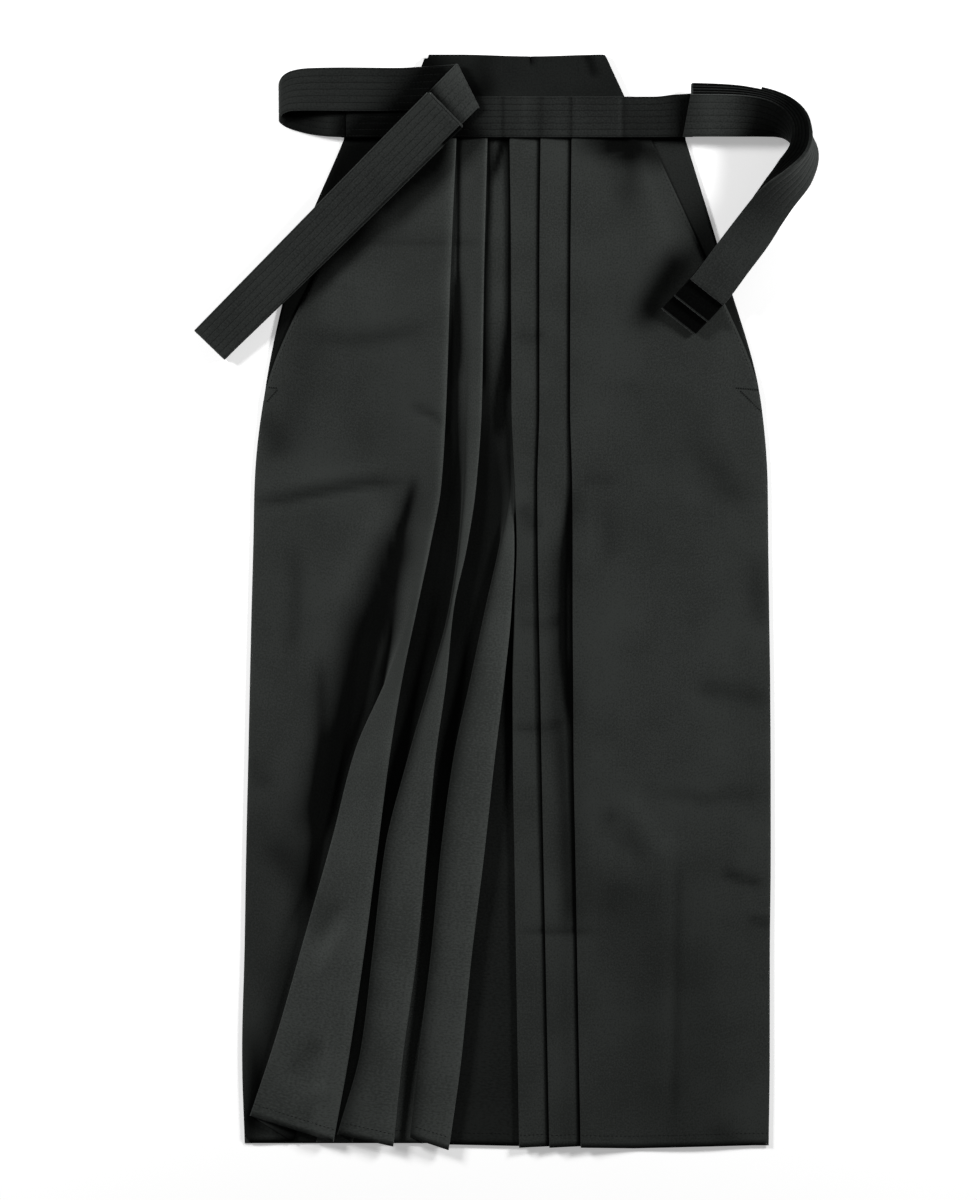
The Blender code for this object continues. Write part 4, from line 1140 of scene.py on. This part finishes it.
def tack_paths(points, tacks):
    """Two close rows of stitches for each bar tack."""
    paths = []
    for tack in tacks:
        for shift in (-TACK_SPREAD / 2, TACK_SPREAD / 2):
            places = []
            for share in np.linspace(0, 1, TACK_POINTS):
                across, drop = (mix(a, b, share) for a, b in zip(tack.start, tack.end))
                row = points[int(np.argmin(abs(drops - drop - shift))), :FOOT_COLUMN]
                row = row[np.argsort(row[:, 0])]
                height = np.interp(across, row[:, 0], row[:, 2]) + CLOTH / 2
                places.append((across, WAIST_Y - drop - shift, height))
            paths.append((np.array(places), np.tile((0.0, 0.0, 1.0), (TACK_POINTS, 1))))
    return paths


for part, points, tacks in (
    ("front_right", right_points, RIGHT_TACKS), ("front_left", left_points, LEFT_TACKS),
):
    paths = (hem_paths(points), [opening_path(points)], tack_paths(points, tacks))
    for kind, at in zip(FRONT_SEWING, paths):
        sewing(f"{part}_{kind.name}", at, kind.length, kind.gap, kind.radius)


# ---------------------------------------------------------------------------------------------
# Board. The stiff back plate that sits at the small of the back: thick pressed paper covered
# tightly in the same black cloth, glued down round the edges, flat with softly rounded corners.
BOARD_THICKNESS = 5.0
BOARD_FOOT = 6.0
BOARD_HEAD = 81.2
BOARD_SIDES = (-106.0, 133.0)
BOARD_HEAD_SHARE = 0.7326
BOARD_HEAD_MIDDLE = 3.2
BOARD_CELLS = (60, 20)
# How far the upper corners are cut, and how much of that they go in and down.
BOARD_CORNER_CUTS = (6.0, 0.6)
CUT_SHAPE = (0.45, -0.6)
SAG_ACROSS = 26.0
SAG_DEPTH = -1.7
SAG_REACH = 70.0
BOARD_EDGE = 1.5
BOARD_EDGE_STEPS = 3
SHARP_EDGE = math.radians(60)
SMOOTH_EDGE = math.radians(40)
# How near a vertex must be to be picked: on a line, at a corner, beside the sag, in a dent.
ON_LINE = 0.1
AT_CORNER = 0.5
BY_SAG = 3.0
IN_DENT = 2.4
# Soft lines of shade on the board: beside the fold of the right tie, and where the cloth is dented.
BOARD_SHADOWS = table(
    CREASE,
    (((-110, -100), (-70, -66), (-34, -40), (-10, -10)), 21, 0, 0.9),
    (((-10, -104), (-22, -70), (-10, -30)), 10, 0, 0.35),
    (((78, -92), (84, -72), (90, -54)), 5, 0, 0.6),
    (((25, -92), (27, -76), (28, -66)), 3, 0, 0.6),
)
BOARD_DENTS = table(
    "across rise depth reach",
    (26.0, 78.0, -2.4, 3.6),
    (26.8, 73.5, -1.8, 3.6),
    (80.0, 77.0, -2.8, 5.5),
    (83.5, 70.0, -2.6, 6.5),
    (86.5, 61.0, -1.8, 7.5),
    (-60.0, 58.0, -0.35, 16.0),
    (60.0, 52.0, 0.35, 20.0),
    (0.0, 50.0, -0.3, 18.0),
)


def pick(test):
    """Select the board's vertices in edit mode by their place in millimetres from the waist."""
    bpy.ops.object.mode_set(mode="OBJECT")
    mesh = board.data
    for group in (mesh.vertices, mesh.edges, mesh.polygons):
        group.foreach_set("select", [False] * len(group))
    for vertex in mesh.vertices:
        across, y, height = (value / MM for value in vertex.co)
        vertex.select = test(across, y - WAIST_Y, height)
    bpy.ops.object.mode_set(mode="EDIT")


def move_picked(*shift, **how):
    bpy.ops.transform.translate(value=[value * MM for value in shift], **how)


def swell_picked(*shift, reach, **how):
    """Move the picked vertices, and those within reach the less the farther off they are."""
    move_picked(*shift, use_proportional_edit=True, proportional_size=reach * MM,
                proportional_edit_falloff="SMOOTH", **how)


middle_y = (WAIST_Y + (BOARD_HEAD + BOARD_FOOT) / 2) * MM
bpy.ops.mesh.primitive_grid_add(x_subdivisions=BOARD_CELLS[0], y_subdivisions=BOARD_CELLS[1], size=1.0)
board = bpy.context.object
board.name = "koshiita_cloth"
board.scale = ((BOARD_SIDES[1] - BOARD_SIDES[0]) * MM, (BOARD_HEAD - BOARD_FOOT) * MM, 1.0)
board.location = (sum(BOARD_SIDES) / 2 * MM, middle_y, 0.0)
bpy.ops.object.transform_apply(location=True, rotation=True, scale=True)

# Draw each row in towards the top, cut the two upper corners and let the upper edge sag a little.
for row in range(1, BOARD_CELLS[1] + 1):
    rise = BOARD_FOOT + (BOARD_HEAD - BOARD_FOOT) * row / BOARD_CELLS[1]
    share = mix(1.0, BOARD_HEAD_SHARE, row / BOARD_CELLS[1])
    pick(lambda across, at, height: abs(at - rise) < ON_LINE)
    bpy.ops.transform.resize(value=(share, 1.0, 1.0), center_override=(BOARD_HEAD_MIDDLE * MM, middle_y, 0.0))
for side, cut in zip(BOARD_SIDES, BOARD_CORNER_CUTS):
    corner = BOARD_HEAD_MIDDLE + (side - BOARD_HEAD_MIDDLE) * BOARD_HEAD_SHARE
    pick(lambda across, at, height: math.hypot(across - corner, at - BOARD_HEAD) < AT_CORNER)
    move_picked(math.copysign(cut * CUT_SHAPE[0], -corner), cut * CUT_SHAPE[1], 0.0)
pick(lambda across, at, height: abs(across - SAG_ACROSS) < BY_SAG and at > BOARD_HEAD - ON_LINE)
swell_picked(0.0, SAG_DEPTH, 0.0, reach=SAG_REACH)

# Give it its thickness, round the edges and press the cloth in at the small dents.
bpy.ops.mesh.select_all(action="SELECT")
bpy.ops.mesh.extrude_region_move(TRANSFORM_OT_translate={"value": (0.0, 0.0, BOARD_THICKNESS * MM)})
bpy.ops.mesh.select_all(action="SELECT")
bpy.ops.mesh.normals_make_consistent(inside=False)
bpy.ops.mesh.select_all(action="DESELECT")
bpy.ops.mesh.edges_select_sharp(sharpness=SHARP_EDGE)
bpy.ops.mesh.bevel(
    offset=BOARD_EDGE * MM, segments=BOARD_EDGE_STEPS, profile=0.5, affect="EDGES", clamp_overlap=True,
)
for dent in BOARD_DENTS:
    pick(lambda across, at, height: height > BOARD_THICKNESS - ON_LINE
         and math.hypot(across - dent.across, at - dent.rise) < IN_DENT)
    swell_picked(0.0, 0.0, dent.depth, reach=dent.reach, use_proportional_connected=True)
bpy.ops.mesh.select_all(action="SELECT")
bpy.ops.uv.cube_project(cube_size=1.0, scale_to_bounds=False)
bpy.ops.object.mode_set(mode="OBJECT")
board.data.uv_layers[0].name = "threads"
bpy.ops.object.shade_smooth_by_angle(angle=SMOOTH_EDGE)
bpy.ops.object.select_all(action="DESELECT")
board_cover = woven("board_cover", (0.005, 0.0058, 0.0054), (0.0095, 0.0108, 0.010), 0.82, 0.07, 0.05)
board.data.materials.append(board_cover)
# The board's lines of shade are painted into its cloth's colour.
places = np.array([tuple(vertex.co) for vertex in board.data.vertices]) / MM
shade = np.clip(relief(places, BOARD_SHADOWS)[1], 0.0, 1.0).astype(np.float32)
board.data.attributes.new("hollow", "FLOAT", "POINT").data.foreach_set("value", shade)
fixed(board, "koshiita")


# ---------------------------------------------------------------------------------------------
# Right front tie. The long sewn strip leaves the waistband, turns back in a loop, folds over
# askew and comes down in four runs that lie on each other. Made like the waistband.
TIE_GAP = 0.6
TIE_STEP = BAND_CLOTH + TIE_GAP
TURN_ROWS = 7
RIGHT_TIE_LOOP = table(
    "low_across low_rise low_height high_across high_rise high_height",
    (-156.3, 0.0, 7.8, -156.3, 40.0, 6.1),
    (-172.0, 0.9, 5.6, -172.0, 40.6, 5.0),
    (-188.0, 3.0, 3.0, -189.0, 42.6, 3.2),
    (-203.0, 6.6, 1.7, -204.0, 45.0, 2.0),
    (-214.0, 10.6, 2.4, -215.0, 48.0, 2.6),
    (-219.8, 16.0, 6.5, -220.0, 52.0, 7.5),
    (-217.2, 21.8, 11.0, -217.5, 58.5, 12.4),
    (-207.0, 25.3, 13.2, -208.0, 64.5, 14.4),
    (-190.0, 25.6, 13.2, -191.0, 67.2, 14.0),
    (-150.0, 25.4, 11.4, -152.0, 68.0, 11.8),
    (-107.0, 25.4, 9.6, -107.0, 67.8, 9.6),
    (-62.0, 26.8, 9.2, -72.0, 69.6, 9.2),
    (-26.0, 28.4, 9.0, -47.5, 71.4, 9.0),
)
# The bundle: its two edges at the top and at the end, how high it lies on its way down, where the
# upper runs begin, how far the runs spread at the top, and how far each is fanned out and to where.
BUNDLE_TOP = ((-26.0, 28.4), (-47.5, 71.4))
BUNDLE_END = ((-272.4, -216.0), (-302.0, -187.4))
BUNDLE_SHARES = (0.0, 0.12, 0.26, 0.40, 0.55, 0.70, 0.85, 1.0)
BUNDLE_HEIGHTS = (11.3, 11.6, 10.6, 8.6, 7.0, 5.6, 3.9, 1.4)
BUNDLE_TOP_SHARES = (0.073, 0.11)
BUNDLE_SPREAD = 1.4
BUNDLE_FAN = (0.0, 1.0, 3.2, 0.0)
BUNDLE_SIDE = (0.69, -0.72)
# Painted shading of the loop at each of its rows, and of the first run of the bundle by its share: painted
# light on the fold of the run, which stands in the light, and painted shade on the rest, which lies in the
# shade of the runs on it.
LOOP_SHADES = (0.95, 0.45, 0.75, 0.85, 0.8, 0.35, 0.15, 0.05, 0.1, 0.15, 0.3, 0.5, -0.6)
FIRST_RUN_SHADES = table(
    "share hollow", (0.0, -1.0), (0.03, -0.75), (0.068, -0.4), (0.08, 0.1), (0.095, 1.0), (1.0, 1.0)
)
# The other runs and the folds: painted shade inside, painted light where a run fans out past the gap at its
# start, on the top run, on the folds and along the rims.
BUNDLE_GAP = 0.08
BUNDLE_FAN_SHADE = -0.3
TOP_RUN_SHADE = -0.18
MIDDLE_SHADE = 1.0
FOLD_SHADE = -0.6
BUNDLE_RIM = -0.25
LOOP_SAMPLES = 96
BUNDLE_SAMPLES = 84


def turned(last, following, outward):
    """Cross rows round a fold between two layers of a tie, half a circle that bulges outward."""
    rows = []
    for i in range(1, TURN_ROWS + 1):
        angle = math.pi * i / (TURN_ROWS + 1)
        row = []
        for a, b, out in zip(last, following, outward):
            share, bulge = (1 - math.cos(angle)) / 2, math.sin(angle) * math.dist(a, b) / 2
            row.append(tuple(mix(p, q, share) + o * bulge for p, q, o in zip(a, b, out)))
        rows.append(row)
    return rows


def turning(run, layer):
    """A run, or values along it, backwards in every second layer."""
    return run[::-1] if layer % 2 else run


def zigzag(runs):
    """One strip from runs that alternate in direction, and the row numbers where each run lies."""
    rows = list(runs[0])
    spans = [(0, len(rows))]
    for run in runs[1:]:
        outward = []
        for end, before in zip(rows[-1], rows[-2]):
            step = [e - b for e, b in zip(end, before)]
            outward.append([value / math.hypot(*step) for value in step])
        rows += turned(rows[-1], run[0], outward)
        spans.append((len(rows), len(rows) + len(run)))
        rows += run
    return rows, spans


def by_run(rows, spans, values, elsewhere):
    """One value for each cross row: a run's own value or values in its span, and one elsewhere."""
    filled = np.full(len(rows), elsewhere)
    for (first, last), value in zip(spans, values):
        filled[first:last] = value
    return filled


def bundle_row(share, layer):
    """Both edges of one layer of the bundle at a share of its length."""
    height = along(BUNDLE_SHARES, BUNDLE_HEIGHTS, share)
    step = mix(TIE_STEP + BUNDLE_SPREAD, TIE_STEP, share)
    fan = BUNDLE_FAN[layer] * (1 - share ** 2)
    row = []
    for top, end, top_share in zip(BUNDLE_TOP, BUNDLE_END, BUNDLE_TOP_SHARES):
        start = top_share if layer else 0.0
        place = mix(start, 1.0, share)
        across, rise = (mix(a, b, place) + fan * side for a, b, side in zip(top, end, BUNDLE_SIDE))
        row.append((across, WAIST_Y + rise, height + layer * step))
    return row


loop = [
    [(low, WAIST_Y + low_rise, low_height), (high, WAIST_Y + high_rise, high_height)]
    for low, low_rise, low_height, high, high_rise, high_height in sampled(RIGHT_TIE_LOOP, LOOP_SAMPLES)
]
shares = np.linspace(0, 1, BUNDLE_SAMPLES)
bundle = [turning([bundle_row(share, layer) for share in shares], layer) for layer in range(len(BUNDLE_FAN))]
fanned_shades = np.where(shares < BUNDLE_GAP, MIDDLE_SHADE, BUNDLE_FAN_SHADE)
shades = [spaced(LOOP_SHADES, LOOP_SAMPLES), np.interp(shares, *zip(*FIRST_RUN_SHADES)), MIDDLE_SHADE,
          fanned_shades, TOP_RUN_SHADE]
rows, spans = zigzag([loop, *bundle])
right_tie = quilted("tie_front_right", rows, BAND_CLOTH, 11.0, by_run(rows, spans, shades, FOLD_SHADE),
                    rim=BUNDLE_RIM, shadowed=by_run(rows, spans[:1], [1.0], 0.0))
paths = seam_paths(right_tie, *spans[0]) + seam_paths(right_tie, *spans[-1])
right_sewing = sewing("tie_front_right_sewing", paths)


# ---------------------------------------------------------------------------------------------
# Left front tie. It leaves the waistband on top of itself, stands on its edge round a bend and
# comes down flipped over, in layers whose ends step back one behind the other.
TIE_WIDTH = 41.5
LEFT_TIE_TRACK = table(
    "across rise heading tilt height fan gap",
    (181.4, 20.8, 0, 6, 15.6, 2.7, 0.0),
    (200.0, 20.8, -1, 8, 16.4, 2.5, 0.0),
    (222.0, 20.4, -3, 13, 18.2, 2.1, 0.1),
    (246.0, 18.6, -9, 27, 22.4, 1.2, 0.4),
    (266.0, 13.0, -24, 50, 25.0, 0.5, 0.9),
    (277.5, 2.0, -50, 78, 25.6, 0.1, 1.5),
    (281.0, -13.5, -84, 104, 24.6, 0.2, 1.7),
    (277.0, -33.0, -112, 128, 21.2, 0.8, 1.4),
    (264.0, -59.0, -126, 148, 16.6, 1.3, 0.8),
    (246.5, -87.0, -129, 163, 12.8, 0.9, 0.3),
    (225.0, -115.5, -129, 171, 11.0, 0.4, 0.0),
    (197.5, -150.0, -128, 175, 10.2, 0.0, 0.0),
    (182.5, -166.5, -128, 176, 9.8, 0.0, 0.0),
    (170.5, -179.0, -128, 177, 9.6, 0.0, 0.0),
)
LEFT_TIE_LAYERS = table("first last", (0, 13), (0, 13), (0, 12), (0, 12), (0, 11), (3, 11))
LEFT_TIE_START_LAP = 3.0
LEFT_TIE_SLANT = 7.5
LEFT_TIE_FULLNESS = 1.2
# Painted light along the rims of the layers, fading out between the track rows RIM_ENDS.
LEFT_TIE_RIM = -0.55
RIM_ENDS = (12, 24)
SAMPLES_A_STEP = 6
# Painted shading of the first layer at each row of the track, and of the last one: each gets painted shade
# where the bend turns it away from the light.
FIRST_LAYER_SHADES = (0.1, -0.55, -0.5, 0.75, 0.95, 0.95, 0.9, 0.85, 0.85, 0.85, 0.85, 0.9, 0.95, 0.95)
LAST_LAYER_SHADES = (0.9, 0.9, 0.8, 0.2, -0.2, -0.25, -0.3, -0.3, -0.3)


def track_row(row, layer):
    """Both edges of one layer where the track passes a place."""
    across, rise, heading, tilt, height, fan, gap = row
    heading, tilt = math.radians(heading), math.radians(tilt)
    left = (-math.sin(heading), math.cos(heading))
    outward = (left[0] * math.sin(tilt), left[1] * math.sin(tilt), -math.cos(tilt))
    span = (left[0] * math.cos(tilt), left[1] * math.cos(tilt), math.sin(tilt))
    centre = [
        value + layer * (out * (TIE_STEP + gap) + side * fan)
        for value, out, side in zip((across, WAIST_Y + rise, height), outward, span)
    ]
    return [tuple(c + sign * TIE_WIDTH / 2 * s for c, s in zip(centre, span)) for sign in (-1, 1)]


track = sampled(LEFT_TIE_TRACK, (len(LEFT_TIE_TRACK) - 1) * SAMPLES_A_STEP + 1)
runs, fullness, rims = [], [], []
for layer, reach in enumerate(LEFT_TIE_LAYERS):
    first_row = reach.first * SAMPLES_A_STEP
    reached = track[first_row:reach.last * SAMPLES_A_STEP + 1]
    run = [track_row(row, layer) for row in reached]
    for i in range(SAMPLES_A_STEP if reach.first == 0 else 0):
        left = 1 - i / SAMPLES_A_STEP
        if layer:
            run[i] = [(x + LEFT_TIE_START_LAP * left, y, z) for x, y, z in run[i]]
        else:
            x, y, z = run[i][0]
            run[i][0] = (x - LEFT_TIE_SLANT * left, y, z)
    rim = np.interp(np.arange(len(reached)) + first_row, RIM_ENDS, (LEFT_TIE_RIM, 0.0))
    runs.append(turning(run, layer))
    fullness.append(turning([1 + LEFT_TIE_FULLNESS * row[-1] / BAND_CLOTH for row in reached], layer))
    rims.append(turning(rim, layer))
rows, spans = zigzag(runs)
shades = [MIDDLE_SHADE] * len(runs)
shades[0] = spaced(FIRST_LAYER_SHADES, len(runs[0]))
shades[-1] = spaced(LAST_LAYER_SHADES[::-1], len(runs[-1]))
left_tie = quilted("tie_front_left", rows, BAND_CLOTH, 17.0, by_run(rows, spans, shades, FOLD_SHADE),
                   fullness=by_run(rows, spans, fullness, 1.0), sewn=by_run(rows, spans[-1:], [0.0], 1.0),
                   rim=by_run(rows, spans, rims, 0.0))
left_sewing = sewing("tie_front_left_sewing", seam_paths(left_tie, *spans[0]))


# ---------------------------------------------------------------------------------------------
# Back ties. Two narrow strips from the foot of the board, tucked straight down inside the legs
# and out of sight. The same sewn cloth, thinner.
TUCKED_TIE_CLOTH = 1.2
TUCKED_HEIGHT = WALL + SEAM_GAP + TUCKED_TIE_CLOTH / 2
BACK_TIE_LENGTH = 700.0
BACK_TIE_ROWS = 120
BACK_TIES = table("name top end", ("tie_back_right", -88.5, -204.0), ("tie_back_left", 111.0, 170.0))

for tie in BACK_TIES:
    top = WAIST_Y + BOARD_FOOT - SEAM_GAP
    edges = []
    for share in np.linspace(0, 1, BACK_TIE_ROWS):
        across, y = mix(tie.top, tie.end, share), mix(top, top - BACK_TIE_LENGTH, share)
        edges.append([(across + side * BAND_WIDTH / 2, y, TUCKED_HEIGHT) for side in (1, -1)])
    strip = quilted(tie.name, edges, TUCKED_TIE_CLOTH, 23.0)
